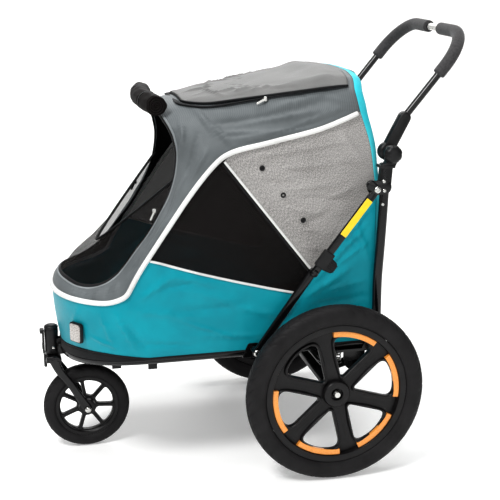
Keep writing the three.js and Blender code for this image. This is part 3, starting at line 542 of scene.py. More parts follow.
# %% Rear wheels: six wide ribbed spokes, with orange reflecting arcs beside five of the openings
REAR_X, REAR_SPOKES, REAR_SPOKE_TURN, ARC_RADIUS = 298.0, 6, np.radians(103), 139.5
REAR_WEB_FRONT = [(0, 6.0), (0.8, 7.4), (2.0, 8.4), (4.6, 8.4), (6.0, 7.0), (7.4, 1.6), (12.0, 0.6),
                  (99, 0.6)]
REAR_WEB_BACK = [(0, -4.0), (1.0, -5.5), (99, -5.5)]
REAR_RIM = [(146, 283), (150, 281.6), (160.5, 282), (161.4, 284), (158, 285.5), (154, 289), (153, 298),
            (154, 307), (158, 310.5), (161.4, 312), (160.5, 314), (152, 314.2), (147.5, 313), (145.6, 309),
            (145.4, 287)]
REAR_HUB = [(5, 276), (27, 276), (31, 279), (31, 307), (30.3, 311), (28, 313.6), (24, 314), (17, 313.6),
            (14.2, 312.6), (13.2, 309.5), (12.6, 305.5), (5, 305)]


def rear_wheel(side, mirror):
    """The web, a rim and a hub spun from their sections, the tyre, and five arcs of tape swept round the
    axle."""
    body = f"rear_wheel_{side}"
    outline = opening_outline(REAR_SPOKES, 18.0, 43, 133, (24.0, 15.0), 120)
    rings = spoked_web("web", REAR_CENTRE, REAR_X + 3, REAR_SPOKES, REAR_SPOKE_TURN, 28, 149, outline,
                       REAR_WEB_FRONT, REAR_WEB_BACK, mirror)
    rim = turned("rim", REAR_RIM, REAR_CENTRE, 180, ring=True, mirror=mirror)
    hub = turned("hub", REAR_HUB, REAR_CENTRE, 72, mirror=mirror)
    whole = joined(f"rear_rim_moulding_{side}", rings + [rim, hub])
    finish_piece(creased(whole, 40), body, RIM_NYLON, "black_plastic", f"rear_rim_{side}")
    rubber = tyre(f"rear_road_tyre_{side}", REAR_CENTRE, REAR_X, 203.2, 157.0, 48.0, 44, mirror)
    finish_piece(rubber, body, RUBBER, "tyre_rubber", f"rear_tyre_{side}")
    arcs = []
    for index in range(1, REAR_SPOKES):
        middle = REAR_SPOKE_TURN + (index + 0.5) * np.pi / 3
        turn = middle + np.radians(np.linspace(-21, 21, 26))
        path = np.stack([np.full(26, REAR_X + 7.6), REAR_CENTRE[0] + ARC_RADIUS * np.cos(turn),
                         REAR_CENTRE[1] + ARC_RADIUS * np.sin(turn)], -1)
        section = rounded([(-6.2, -4.4), (6.2, -4.4), (6.2, 4.4), (-6.2, 4.4)], 1.4, 4)
        arcs.append(surface("arc", sweep(path, section, (1, 0, 0)), around=True, caps=True, mirror=mirror))
    finish_piece(creased(joined(f"reflecting_arcs_{side}", arcs), 50), body, ORANGE, "reflector_lens")


def orange_tape():
    """Retro-reflecting orange tape: a clear film over tiny prisms, seen as a fine grain of about 2 mm."""
    material, shader = new_material("orange_reflecting_tape", Roughness=0.3, Coat_Weight=0.4)
    place = add(material, "ShaderNodeTexCoord")
    prisms = add(material, "ShaderNodeTexVoronoi", {"Vector": place.outputs["Object"], "Scale": 500.0})
    ramp = add(material, "ShaderNodeValToRGB", {"Fac": prisms.outputs["Distance"]})
    ramp.color_ramp.elements[0].color = linear("#f8a950")
    ramp.color_ramp.elements[1].color = linear("#e0862a")
    link(material, ramp.outputs["Color"], shader, "Base Color")
    return material


ORANGE = orange_tape()
for wheel_side, wheel_mirror in SIDES:
    rear_wheel(wheel_side, wheel_mirror)
print("rear wheels made")

# %% Front wheel: seven thin flared spokes
FRONT_SPOKES = 7
FRONT_WEB = [(0, 4.0), (0.7, 6.4), (2.0, 8.0), (99, 8.6)]
FRONT_RIM = [(64.5, -11), (67, -13.5), (73.5, -13.8), (74.4, -12.4), (71, -11), (68, -8), (67.4, 0), (68, 8),
             (71, 11), (74.4, 12.4), (73.5, 13.8), (67, 13.5), (64.5, 11), (64, 0)]
FRONT_HUB = [(5, -23), (16, -23), (19, -20.5), (20.5, -10), (20.5, 10), (19, 20.5), (16, 23), (5, 23)]


def front_wheel():
    """A web with the same ribs on both faces, a rim and a hub spun from their sections, and the tyre."""
    outline = opening_outline(FRONT_SPOKES, 4.4, 25, 62.5, (6.5, 5.0), 84)
    rings = spoked_web("web", FRONT_CENTRE, 0.0, FRONT_SPOKES, np.radians(99), 18, 66, outline, FRONT_WEB,
                       [(moved, -height) for moved, height in FRONT_WEB])
    rim = turned("rim", FRONT_RIM, FRONT_CENTRE, 120, ring=True)
    hub = turned("hub", FRONT_HUB, FRONT_CENTRE, 48)
    finish_piece(creased(joined("front_rim_moulding", rings + [rim, hub]), 40), "front_wheel", RIM_NYLON,
                 "black_plastic", "front_rim")
    rubber = tyre("front_road_tyre", FRONT_CENTRE, 0.0, 101.6, 70.0, 35.0, 26)
    finish_piece(rubber, "front_wheel", RUBBER, "tyre_rubber", "front_tyre")


front_wheel()
print("front wheel made")

# %% [markdown]
# ## Frame
# The chassis is one bent steel loop with two cross tubes, two uprights, and a folding brace on each side.
# Real tubes are round, and the light that runs along them is the main thing that shows. So each is a circle
# of 24 sides carried along the bent line, with its bends spread over many stations. The flat links are
# plates whose edges turn over in a quarter-circle, as a pressed steel strip has.

# %% Base loop and cross tubes
TUBE_HALF, TUBE_Z, TUBE_REAR, TUBE_BEND = 198.0, 279.0, 128.0, -400.0
NOSE_REACH, NOSE_DROP = 171.0, 23.0


def base_loop():
    """Two straight sides and half an ellipse in front, which dips by the sine squared of its angle."""
    turn = np.linspace(0, np.pi, 72)
    nose = np.stack([TUBE_HALF * np.cos(turn), TUBE_BEND - NOSE_REACH * np.sin(turn),
                     TUBE_Z - NOSE_DROP * np.sin(turn) ** 2], -1)
    y = np.linspace(TUBE_REAR, TUBE_BEND, 20)[:-1]
    left = np.stack([np.full(len(y), TUBE_HALF), y, np.full(len(y), TUBE_Z)], -1)
    right = left[::-1] * FLIP
    return np.concatenate([left, nose, right])


def bar_x(radius, span, centre, sides=24, mirror=False):
    """A round bar along x whose two ends are rounded over."""
    edge = min(0.25 * radius, 0.3 * (span[1] - span[0]))
    profile = [(0.01, span[0]), (radius - edge, span[0]), (radius, span[0] + edge), (radius, span[1] - edge),
               (radius - edge, span[1]), (0.01, span[1])]
    return creased(turned("bar", profile, centre, sides, mirror=mirror), 50)


loop = tube("loop", base_loop(), 11.0, 28)
cross_tubes = [bar_x(9.0, (-197, 197), (116, TUBE_Z)), bar_x(8.0, (-197, 197), (-150, TUBE_Z))]
finish_piece(joined("base_loop_tubes", [loop] + cross_tubes), "chassis", ENAMEL, "frame_enamel", "base_frame")

# %% Uprights, braces and their pins
UPRIGHT_LINE = [(118, 286), (118, 372), (118, 432), (122, 510), (126, 600), (129, 692)]
KNEE, BRACE_FOOT, BRACE_TOP = (-39.0, 468.0), (-166.0, 290.0), (100.0, 648.0)
HANDLE_PIVOT = (138.0, 722.0)
UPRIGHT_X = 223.0


def at_x(points, x):
    """[y, z] points as 3-D points on one x plane."""
    points = np.asarray(points, float)
    return np.concatenate([np.full((len(points), 1), float(x)), points], 1)


def screw_head(centre, span, radius, mirror, name="screw"):
    """A domed screw head with a round socket: the profile rises over the dome and drops into the middle."""
    low, high = span
    rise = high - low
    profile = [(0.01, low), (radius * 0.96, low), (radius, low + 0.25 * rise),
               (radius * 0.86, low + 0.7 * rise), (radius * 0.55, high), (radius * 0.42, high),
               (radius * 0.38, high - 0.4 * rise), (0.01, high - 0.45 * rise)]
    return creased(turned(name, profile, centre, 28, mirror=mirror), 45)


def upright(side, mirror):
    """A tube along the upright's line, with the tab that holds the brace, its spacer, pin and three bolts."""
    line = spline(at_x(UPRIGHT_LINE, UPRIGHT_X), np.linspace(0, 1, 30))
    bar = tube("bar", line, 10.5, 24, (1, 0, 0), mirror=mirror)
    tab = plate("tab", strap((124, 648), BRACE_TOP, 32), (229.5, 236.2), 1.4, mirror)
    spacer = bar_x(7.0, (233, 246.1), BRACE_TOP, mirror=mirror)
    finish_piece(joined(f"upright_tube_{side}", [bar, tab, spacer]), "uprights", ENAMEL, "frame_enamel",
                 f"upright_{side}")
    pin = screw_head(BRACE_TOP, (256.3, 260.0), 7.4, mirror, f"brace_top_screw_{side}")
    bolts = [screw_head(place, (235.6, 238.8), 4.6, mirror) for place in ((121, 662), (123, 641))]
    bolts.append(screw_head((121, 610), (233.0, 235.6), 4.0, mirror))
    finish_piece(joined(f"brace_top_screw_{side}", [pin] + bolts), "uprights", STEEL, "bright_steel")


def brace(side, mirror):
    """Two flat links with round ends, side by side at the knee, and a clip strap at the top of the upper
    one."""
    lower = plate(f"lower_link_{side}", strap(BRACE_FOOT, KNEE, 18, 14), (235.5, 245.0), 3.4, mirror)
    finish_piece(creased(lower, 60), f"lower_brace_{side}", ENAMEL, "frame_enamel", f"lower_brace_{side}")
    upper = plate("upper", strap(KNEE, BRACE_TOP, 18, 14), (246.3, 256.0), 3.4, mirror)
    dome = screw_head(KNEE, (255.0, 260.0), 8.6, mirror)
    clip = plate("clip", strap((86, 659), (97, 648), 21, 12), (246.6, 257.4), 3.4, mirror)
    whole = joined(f"upper_link_{side}", [creased(upper, 60), dome, creased(clip, 60)])
    finish_piece(whole, f"upper_brace_{side}", ENAMEL, "frame_enamel", f"upper_brace_{side}")


for part_side, part_mirror in SIDES:
    upright(part_side, part_mirror)
    brace(part_side, part_mirror)
print("uprights and braces made")

# %% Lock collars, and the brackets at each brace's foot
LINK = np.array(BRACE_TOP) - np.array(KNEE)


def along_link(distance, off=0.0):
    """A [y, z] point a distance up the upper link from the knee, and off to its front side."""
    ahead = LINK / np.linalg.norm(LINK)
    return np.array(KNEE) + distance * ahead + off * np.array([ahead[1], -ahead[0]])


def lock_collar(side, mirror):
    """A moulded sleeve round the upper link, with a thumb lever on its front side and four ribs on the
    lever."""
    half = 13.0
    corners = [along_link(16, half), along_link(58, half), along_link(58, -half), along_link(16, -half)]
    body = plate("shell", rounded(corners, 4.0, 6), (245.9, 260.3), 2.6, mirror)
    lever_line = [along_link(20, half + 17), along_link(26, half + 20), along_link(40, half + 20),
                  along_link(46, half + 16), along_link(50, half - 3), along_link(16, half - 3)]
    lever = plate("lever", rounded(lever_line, 4.0, 5), (245.9, 258.2), 2.8, mirror)
    ribs = [plate("rib", rounded([along_link(s, half + 19.4), along_link(s + 2, half + 19.4),
                                  along_link(s + 2, half + 1), along_link(s, half + 1)], 0.6, 3),
                  (256.0, 259.6), 0.7, mirror) for s in (25, 30, 35, 40)]
    whole = joined(f"sliding_collar_{side}", [body, lever] + ribs)
    finish_piece(creased(whole, 55), f"lock_collar_{side}", NYLON, "black_plastic", f"lock_collar_{side}")


def brace_foot(side, mirror):
    """A plate on the base tube that narrows upward, with the spacer and the screw that carry the brace."""
    y, z = BRACE_FOOT
    corners = [(y - 26, z - 22), (y + 26, z - 22), (y + 12, z + 12), (y - 12, z + 12)]
    foot = plate("foot", rounded(corners, 5.0, 5), (209.3, 212.4), 0.9, mirror)
    spacer = bar_x(8.0, (211, 235.2), (y, z), mirror=mirror)
    finish_piece(joined(f"brace_foot_plate_{side}", [foot, spacer]), "chassis", ENAMEL, "frame_enamel",
                 f"brace_bracket_{side}")
    head = screw_head((y, z), (245.3, 249.2), 7.4, mirror, f"brace_foot_screw_{side}")
    finish_piece(head, "chassis", STEEL, "bright_steel")


for part_side, part_mirror in SIDES:
    lock_collar(part_side, part_mirror)
    brace_foot(part_side, part_mirror)

# %% [markdown]
# ## Handle
# The push bar is one U of thin tube with a foam sleeve over each bend, held between nylon clamps on top of
# the uprights. The foam is a thicker tube on the same line, its two ends rounded over. Foam that has been
# pushed over a bend wrinkles a little on the inside, so its radius carries a faint ripple.

# %% Push bar and grips
HANDLE_HALF, HANDLE_SLOPE, HANDLE_LENGTH, HANDLE_CORNER = 200.5, np.radians(50.5), 236.0, 90.0


def up_handle(x, distance):
    """A point x to the side and a distance up the sloping plane of the handle."""
    x, distance = np.broadcast_arrays(np.asarray(x, float), np.asarray(distance, float))
    return np.stack([x, 172 + distance * np.cos(HANDLE_SLOPE), 790 + distance * np.sin(HANDLE_SLOPE)], -1)


def handle_line(start, x_end):
    """Up the left leg, round the corner on a cubic curve, and along the top bar to x_end."""
    bend = HANDLE_LENGTH - HANDLE_CORNER
    inner = HANDLE_HALF - HANDLE_CORNER
    t = np.linspace(0, 1, 26)
    pull = 0.552 * HANDLE_CORNER
    x = ((1 - t) ** 3 * HANDLE_HALF + 3 * (1 - t) ** 2 * t * HANDLE_HALF + 3 * (1 - t) * t**2 * (inner + pull)
         + t**3 * inner)
    d = ((1 - t) ** 3 * bend + 3 * (1 - t) ** 2 * t * (bend + pull) + 3 * (1 - t) * t**2 * HANDLE_LENGTH
         + t**3 * HANDLE_LENGTH)
    leg = up_handle(HANDLE_HALF, np.linspace(start, bend, 14)[:-1])
    top = up_handle(np.linspace(inner, x_end, 14)[1:], HANDLE_LENGTH)
    return np.concatenate([leg, up_handle(x, d), top])


def push_bar():
    """A tube along the handle's line and its mirror image, with a short bright sleeve in the middle."""
    left = handle_line(-28, 0.0)
    right = left[::-1][1:] * FLIP
    bar = tube("push_bar", np.concatenate([left, right]), 8.0, 24, (0, -1, 1))
    finish_piece(bar, "handle", ENAMEL, "frame_enamel", "handle_tube")
    inner = up_handle(np.linspace(30.5, -30.5, 10), HANDLE_LENGTH)
    sleeve = tube("bare_centre_sleeve", inner, 8.4, 24, (0, -1, 1))
    finish_piece(sleeve, "handle", STEEL, "bright_steel")


def foam_grip(side, mirror):
    """A thicker tube on the bend; its radius ripples by a sine inside a bell and drops at both ends."""
    line = evenly(handle_line(124, 33), 110)
    t = np.linspace(0, 1, 110)
    ripple = 0.16 * np.sin(2 * np.pi * 34 * t) * np.exp(-((t - 0.33) / 0.2) ** 2)
    ends = 1 - 0.24 * np.clip(1 - t * 45, 0, 1) ** 2 - 0.24 * np.clip(1 - (1 - t) * 45, 0, 1) ** 2
    grip = tube(f"foam_grip_{side}", line, (14.0 + ripple) * ends, 32, (0, -1, 1), mirror=mirror)
    finish_piece(grip, "handle", FOAM, "grip_foam", f"grip_{side}")


push_bar()
for part_side, part_mirror in SIDES:
    foam_grip(part_side, part_mirror)


# %% Handle clamps and knobs
def handle_clamp(side, mirror):
    """Below: a sleeve on the upright with an ear round the pivot and a band. Above: an arm with a disc."""
    sleeve = plate("sleeve", rounded([(113, 636), (139, 636), (143, 700), (117, 700)], 5.0, 6), (210, 236),
                   5.0, mirror)
    ear = plate("ear", rounded([(112, 690), (130, 704), (122, 728), (138, 741), (155, 728), (153, 704),
                                (146, 690)][::-1], 9.0, 6), (212.8, 235.8), 3.0, mirror)
    band = plate("band", rounded([(111.5, 690), (147, 690), (147, 697), (111.5, 697)], 2.5, 4),
                 (209.6, 236.6), 1.5, mirror)
    lower = joined(f"lower_clamp_{side}", [sleeve, ear, band])
    finish_piece(creased(lower, 50), "uprights", NYLON, "black_plastic", f"lower_handle_bracket_{side}")
    arm = plate("arm", strap(HANDLE_PIVOT, (176, 795), 27, 14), (189.5, 212.0), 5.5, mirror)
    disc = bar_x(20.0, (189.5, 212.0), HANDLE_PIVOT, 40, mirror)
    upper = joined(f"upper_clamp_{side}", [arm, disc])
    finish_piece(creased(upper, 50), "handle", NYLON, "black_plastic", f"upper_handle_bracket_{side}")


def clamp_knob(side, mirror):
    """A domed knob with eight finger hollows: the radius dips by the cosine of eight times the angle."""
    profile = np.array([(0.01, 236.4), (18.6, 236.4), (20.3, 238.4), (20.6, 242), (19.6, 247), (17.4, 250.6),
                        (13.6, 253.4), (8.5, 255.0), (0.01, 255.4)])
    turn = np.linspace(0, 2 * np.pi, 96, endpoint=False)
    dip = 0.9 * np.clip(np.cos(8 * turn), 0, 1) ** 2
    grip_zone = np.clip(profile[:, :1] / 18.0, 0, 1) ** 6
    radius = profile[:, :1] - dip * grip_zone * (profile[:, :1] > 12)
    grid = np.stack([np.broadcast_to(profile[:, 1:], radius.shape), HANDLE_PIVOT[0] + radius * np.cos(turn),
                     HANDLE_PIVOT[1] + radius * np.sin(turn)], -1)
    knob = surface(f"domed_knob_{side}", grid, around=True, caps=True, mirror=mirror)
    bolt = bar_x(4.7, (186.5, 238), HANDLE_PIVOT, mirror=mirror)
    finish_piece(creased(joined(f"domed_knob_{side}", [knob, bolt]), 60), f"clamp_knob_{side}", NYLON,
                 "black_plastic", f"clamp_knob_{side}")


for part_side, part_mirror in SIDES:
    handle_clamp(part_side, part_mirror)
    clamp_knob(part_side, part_mirror)
print("handle made")

# %% [markdown]
# ## Head and fork
# The front wheel swivels in a short nylon head that clips round the nose of the base loop. A spring tongue
# on its front locks the swivel. The fork is a pressed and welded steel part: two blades that narrow towards
# the axle, a crown and a small shroud, all under the same gloss enamel as the frame.

# %% Head, cap and swivel lock
HEAD_Y = -600.0


def block(name, low, high, edge, mirror=False):
    """A box with all its upright edges rounded in plan and its top and bottom edges turned over."""
    outline = rounded([(low[1], low[2]), (high[1], low[2]), (high[1], high[2]), (low[1], high[2])], edge, 5)
    return plate(name, outline, (low[0], high[0]), edge * 0.6, mirror)


def head():
    """A turned head tube on a saddle with two ribs, a turned cap, the lock's tongue with its lip, and a
    rivet."""
    shell = turned("shell", [(11.6, 241), (15.2, 241), (16.0, 242.5), (15.4, 262), (15.6, 282), (16.2, 296),
                             (15.6, 300), (11.6, 300)], (0, HEAD_Y), 48, axis="z")
    saddle = block("saddle", (-22, HEAD_Y + 12, 241), (22, -556, 266), 6.0)
    ribs = [block("rib", (x - 1.5, HEAD_Y + 8, 262), (x + 1.5, -560, 276), 1.2) for x in (-9, 9)]
    finish_piece(creased(joined("head_shell", [shell, saddle] + ribs), 50), "chassis", NYLON, "black_plastic",
                 "head_tube")
    cap = turned("head_top_cap", [(0.01, 300.5), (15.4, 300.5), (16.2, 301.6), (16.2, 304), (14.8, 306.6),
                                  (11.5, 308.6), (6, 309.5), (0.01, 309.6)], (0, HEAD_Y), 48, axis="z")
    finish_piece(creased(cap, 60), "chassis", NYLON, "black_plastic", "head_cap")
    tongue = block("tongue", (-9, -621.3, 242), (9, -616.6, 299), 1.6)
    lip = block("lip", (-9.5, -626.3, 290.5), (9.5, -617, 299), 2.2)
    grooves = [block("groove", (-7, -622.4, z), (7, -620.4, z + 1.6), 0.5) for z in (252, 257, 262)]
    finish_piece(creased(joined("swivel_lock_tongue", [tongue, lip] + grooves), 50), "swivel_lock", NYLON,
                 "black_plastic", "swivel_lock")
    rivet = turned("head_rivet", [(0.01, 15.0), (3.4, 15.0), (3.6, 16.2), (2.6, 17.2), (0.01, 17.6)],
                   (-597, 256), 20)
    finish_piece(rivet, "chassis", STEEL, "bright_steel")


head()
print("head and swivel lock made")


# %% Fork, axle and nuts
def fork():
    """A stem, a crown and a shroud, and two blades whose flattened oval section is narrowest halfway down."""
    stem = turned("stem", [(0.01, 234), (7.6, 234), (8, 235), (8, 298), (7, 299), (0.01, 299)], (0, HEAD_Y),
                  24, axis="z")
    crown = plate("crown", rounded([(HEAD_Y - 17, 224), (HEAD_Y + 20, 222), (HEAD_Y + 20, 236),
                                    (HEAD_Y + 12, 239.5), (HEAD_Y - 14, 239.5)], 5.0, 6), (-33, 33), 5.0)
    shroud = block("shroud", (-13, HEAD_Y - 20, 209), (13, HEAD_Y - 13, 238), 3.0)
    legs = []
    for _, mirror in SIDES:
        line = [(29.5, HEAD_Y + 1, 232), (29.8, HEAD_Y + 12, 206), (29.5, -564, 170), (29.5, -541, 130),
                (29.5, -524.6, 101.6)]
        t = np.linspace(0, 1, 30)
        path = spline(line, t)
        width = 11.0 - 2.2 * np.sin(np.pi * t)
        turn = np.linspace(0, 2 * np.pi, 24, endpoint=False)
        section = np.stack([width[:, None] * np.sign(np.cos(turn)) * np.abs(np.cos(turn)) ** 0.8,
                            np.broadcast_to(4.0 * np.sin(turn), (30, 24))], -1)
        legs.append(surface("leg", sweep(path, section, (1, 0, 0)), around=True, caps=True, mirror=mirror))
        legs.append(bar_x(10.5, (25.8, 33.2), FRONT_CENTRE, 32, mirror))
    finish_piece(creased(joined("fork_blades", [stem, crown, shroud] + legs), 50), "front_fork", ENAMEL,
                 "frame_enamel", "front_fork")
    rod = bar_x(4.7, (-37, 37), FRONT_CENTRE)
    nut = [(0.01, 33.4), (7.4, 33.4), (8.0, 34.2), (7.6, 37), (5.4, 39.2), (0.01, 40)]
    nuts = [turned("nut", nut, FRONT_CENTRE, 32, mirror=mirror) for _, mirror in SIDES]
    finish_piece(creased(joined("front_axle_nuts", [rod] + nuts), 50), "front_fork", STEEL, "bright_steel",
                 "front_axle")


fork()

# %% [markdown]
# ## Rear axle, springs and brake
# Behind each wheel a short arm carries the axle and a coil spring takes the load. All of it is seen in
# pieces, through the wheel's openings. The springs are a thin wire carried round a helix; the axle ends in
# a bright domed nut at the bottom of each hub.

# %% Swing axle, springs and brake bar
BRAKE_BAR = (32.0, 187.2)


def swing_axle():
    """A beam between the wheels, arms back to the pivots, spring seats and brake tabs, and the axle's
    nuts."""
    beam = bar_x(13.0, (-270, 270), REAR_CENTRE, 36)
    pieces = [beam]
    for _, mirror in SIDES:
        pieces.append(plate("arm", strap(REAR_CENTRE, (83, 225), 20, 12), (160, 170), 2.4, mirror))
        seat = turned("seat", [(0.01, 220), (11, 220), (12, 221), (12, 224.8), (11, 225.7), (0.01, 225.7)],
                      (165, 45), 32, axis="z", mirror=mirror)
        pieces.append(seat)
        pieces.append(bar_x(4.6, (160, 192), (83, 225), mirror=mirror))
        pieces.append(plate("tab", strap(REAR_CENTRE, BRAKE_BAR, 20, 12), (110, 116), 1.6, mirror))
    finish_piece(creased(joined("swing_beam", pieces), 50), "rear_suspension", ENAMEL, "frame_enamel",
                 "swing_axle")
    ends = [bar_x(6.0, (-316, 316), REAR_CENTRE)]
    for _, mirror in SIDES:
        ends.append(turned("nut", [(0.01, 308.5), (8.6, 308.5), (9.4, 309.6), (9.0, 312), (6.8, 314.6),
                                   (6.2, 316.4), (0.01, 317)], REAR_CENTRE, 32, mirror=mirror))
    finish_piece(creased(joined("axle_shaft_nuts", ends), 50), "rear_suspension", STEEL, "bright_steel",
                 "axle_shaft")


def coil_spring(side, mirror):
    """The wire's middle goes round 4.6 turns while it rises; the first and last part of a turn lie flat."""
    t = np.linspace(0, 1, 130)
    rise = np.clip((t - 0.08) / 0.84, 0, 1)
    angle = t * 4.6 * 2 * np.pi
    path = np.stack([165 + 9 * np.cos(angle), 45 + 9 * np.sin(angle), 228.0 + 31.0 * rise], -1)
    wire = tube(f"spring_wire_{side}", path, 1.7, 12, mirror=mirror)
    finish_piece(wire, "chassis", STEEL, "bright_steel", f"coil_spring_{side}")
    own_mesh(wire)


def foot_brake():
    """A bar along the axle with a pedal plate and its five ribs in the middle, and a pawl at each wheel."""
    y, z = BRAKE_BAR
    pieces = [bar_x(6.0, (-258, 258), BRAKE_BAR)]
    pedal = rounded([(y - 4, z - 4), (y, z - 6), (y + 42, z + 6), (y + 66, z + 4), (y + 66, z + 10),
                     (y + 42, z + 13), (y, z + 6)], 2.6, 4)
    pieces.append(plate("pedal", pedal, (-42, 42), 2.2))
    rib = rounded([(y + 44, z + 12.5), (y + 62, z + 9.5), (y + 62, z + 11.5), (y + 44, z + 14.5)], 0.7, 3)
    pieces += [plate("rib", rib, (x - 3, x + 3), 0.8) for x in range(-32, 33, 16)]
    for _, mirror in SIDES:
        pieces.append(plate("pawl", strap(BRAKE_BAR, (y + 4, z + 26), 13, 10), (250, 258), 1.8, mirror))
    pedal = creased(joined("foot_brake_bar", pieces), 50)
    finish_piece(pedal, "brake", NYLON, "black_plastic", "brake_pedal")


swing_axle()
for part_side, part_mirror in SIDES:
    coil_spring(part_side, part_mirror)
foot_brake()
print("axle, springs and brake made")

# %% [markdown]
# ## Cloth
# The cabin is sewn from coated polyester: teal below, dark grey in front, heather grey on the sides, and
# black open mesh for the windows. A plain weave is two sets of bands at right angles. Its threads are about
# 0.5 mm thick, too fine to show at this distance, so the bands are drawn 2 mm wide. The bands follow the
# cloth's own UV map, which is in metres. Larger, slower noise gives the uneven shade of cloth that has been
# folded.

# %% Woven cloth
DRAWN_THREAD_MM = 2.0


def weave_pattern(material, thread_mm):
    """Two sets of sine bands, across and along. Their product is highest where one thread crosses another."""
    place = add(material, "ShaderNodeUVMap", uv_map="cloth")
    scale = 0.314 / (thread_mm * MM)
    settings = {"Vector": place.outputs["UV"], "Scale": scale, "Distortion": 0.6, "Detail": 1.0,
                "Detail Scale": 0.4}
    bands = [add(material, "ShaderNodeTexWave", settings, wave_type="BANDS", bands_direction=direction)
             for direction in "XY"]
    return place, add(material, "ShaderNodeMath", {0: bands[0].outputs["Fac"], 1: bands[1].outputs["Fac"]},
                      operation="MULTIPLY")


def woven(name, dark, middle, light, thread_mm=DRAWN_THREAD_MM, roughness=0.8, fleck=None, bump=0.35):
    """Woven cloth: its shade drifts between three close colours over 80 mm, and the weave darkens the
    gaps."""
    material, shader = new_material(name, Roughness=roughness, Sheen_Weight=0.06, Sheen_Roughness=0.5,
                                    IOR=1.3)
    place, weave = weave_pattern(material, thread_mm)
    solid_place = add(material, "ShaderNodeTexCoord")
    drift = add(material, "ShaderNodeTexNoise", {"Vector": solid_place.outputs["Object"], "Scale": 13.0,
                                                 "Detail": 5.0, "Roughness": 0.5})
    ramp = add(material, "ShaderNodeValToRGB", {"Fac": drift.outputs["Fac"]})
    for stop, where, shade in zip(ramp.color_ramp.elements, (0.34, 0.68), (dark, light)):
        stop.position = where
        stop.color = linear(shade)
    ramp.color_ramp.elements.new(0.5).color = linear(middle)
    colour = ramp.outputs["Color"]
    if fleck:
        stretch = add(material, "ShaderNodeMapping", {"Vector": place.outputs["UV"],
                                                      "Scale": (700.0, 240.0, 1.0)})
        yarn = add(material, "ShaderNodeTexNoise", {"Vector": stretch.outputs["Vector"], "Scale": 1.0,
                                                    "Detail": 3.0})
        pale = add(material, "ShaderNodeMapRange", {"Value": yarn.outputs["Fac"], "From Min": 0.42,
                                                    "From Max": 0.62, "To Min": 0.0, "To Max": 0.75})
        mix = add(material, "ShaderNodeMixRGB", {"Fac": pale.outputs["Result"], "Color1": colour,
                                                 "Color2": linear(fleck)})
        colour = mix.outputs["Color"]
    gap = add(material, "ShaderNodeMapRange", {"Value": weave.outputs["Value"], "From Max": 0.5,
                                               "To Min": 0.80, "To Max": 1.06})
    shaded = add(material, "ShaderNodeMixRGB", {"Fac": 1.0, "Color1": colour,
                                                "Color2": gap.outputs["Result"]}, blend_type="MULTIPLY")
    link(material, shaded.outputs["Color"], shader, "Base Color")
    crumple = add(material, "ShaderNodeTexNoise", {"Vector": solid_place.outputs["Object"], "Scale": 38.0,
                                                   "Detail": 4.0})
    coarse = add(material, "ShaderNodeBump", {"Height": crumple.outputs["Fac"], "Strength": 0.07,
                                              "Distance": 0.006})
    fine = add(material, "ShaderNodeBump", {"Height": weave.outputs["Value"], "Strength": bump,
                                            "Distance": 0.0004, "Normal": coarse.outputs["Normal"]})
    link(material, fine.outputs["Normal"], shader, "Normal")
    gloss = add(material, "ShaderNodeMapRange", {"Value": drift.outputs["Fac"], "To Min": roughness - 0.1,
                                                 "To Max": roughness + 0.1})
    link(material, gloss.outputs["Result"], shader, "Roughness")
    return material


def open_mesh(name="open_mesh", alpha=0.8):
    """Knitted insect mesh: a black net with round holes about 1 mm apart, drawn 3 mm apart. Its see-through
    share is the same all over, because the holes themselves are too small to show."""
    material, shader = new_material(name, Roughness=0.7, Alpha=alpha, IOR=1.25)
    place = add(material, "ShaderNodeUVMap", uv_map="cloth")
    holes = add(material, "ShaderNodeTexVoronoi", {"Vector": place.outputs["UV"], "Scale": 333.0,
                                                   "Randomness": 0.25})
    ramp = add(material, "ShaderNodeValToRGB", {"Fac": holes.outputs["Distance"]})
    for stop, where, shade in zip(ramp.color_ramp.elements, (0.25, 0.6), ("#0a0808", "#1d1918")):
        stop.position = where
        stop.color = linear(shade)
    link(material, ramp.outputs["Color"], shader, "Base Color")
    bump = add(material, "ShaderNodeBump", {"Height": holes.outputs["Distance"], "Strength": 0.3,
                                            "Distance": 0.0006})
    link(material, bump.outputs["Normal"], shader, "Normal")
    return material


TEAL = woven("teal_polyester", "#0090a0", "#0097a7", "#009eae", roughness=0.45, bump=0.2)
PALE_TEAL = woven("pale_teal_binding", "#2fc0cf", "#3fcad8", "#52d4e0", roughness=0.6)
DARK_GREY = woven("dark_grey_polyester", "#5f6466", "#656a6c", "#6b7072", roughness=0.55, bump=0.15)
ROOF_GREY = woven("light_grey_coated_polyester", "#686867", "#6f6f6e", "#767675", roughness=0.55, bump=0.2)
HEATHER = woven("heather_polyester", "#7c7a79", "#8a8887", "#949291", roughness=0.85, fleck="#c9c6c2")
LINING = woven("black_lining", "#131415", "#1a1c1d", "#222425", roughness=0.8)
BINDING = woven("black_binding_tape", "#101011", "#17181a", "#1f2022", thread_mm=1.5, roughness=0.7)
PIPING = woven("white_reflecting_piping", "#dcdcda", "#ebebe9", "#f6f6f4", thread_mm=1.6, roughness=0.45,
               bump=0.2)
EDGE_GREY = woven("grey_edge_piping", "#7d8284", "#8b9092", "#9a9fa1", thread_mm=1.2, roughness=0.55)
MESH = open_mesh()
REAR_MESH = open_mesh("rear_window_mesh", 1.0)
BIB_MESH = open_mesh("bib_mesh", 0.4)
print("cloth finishes made")
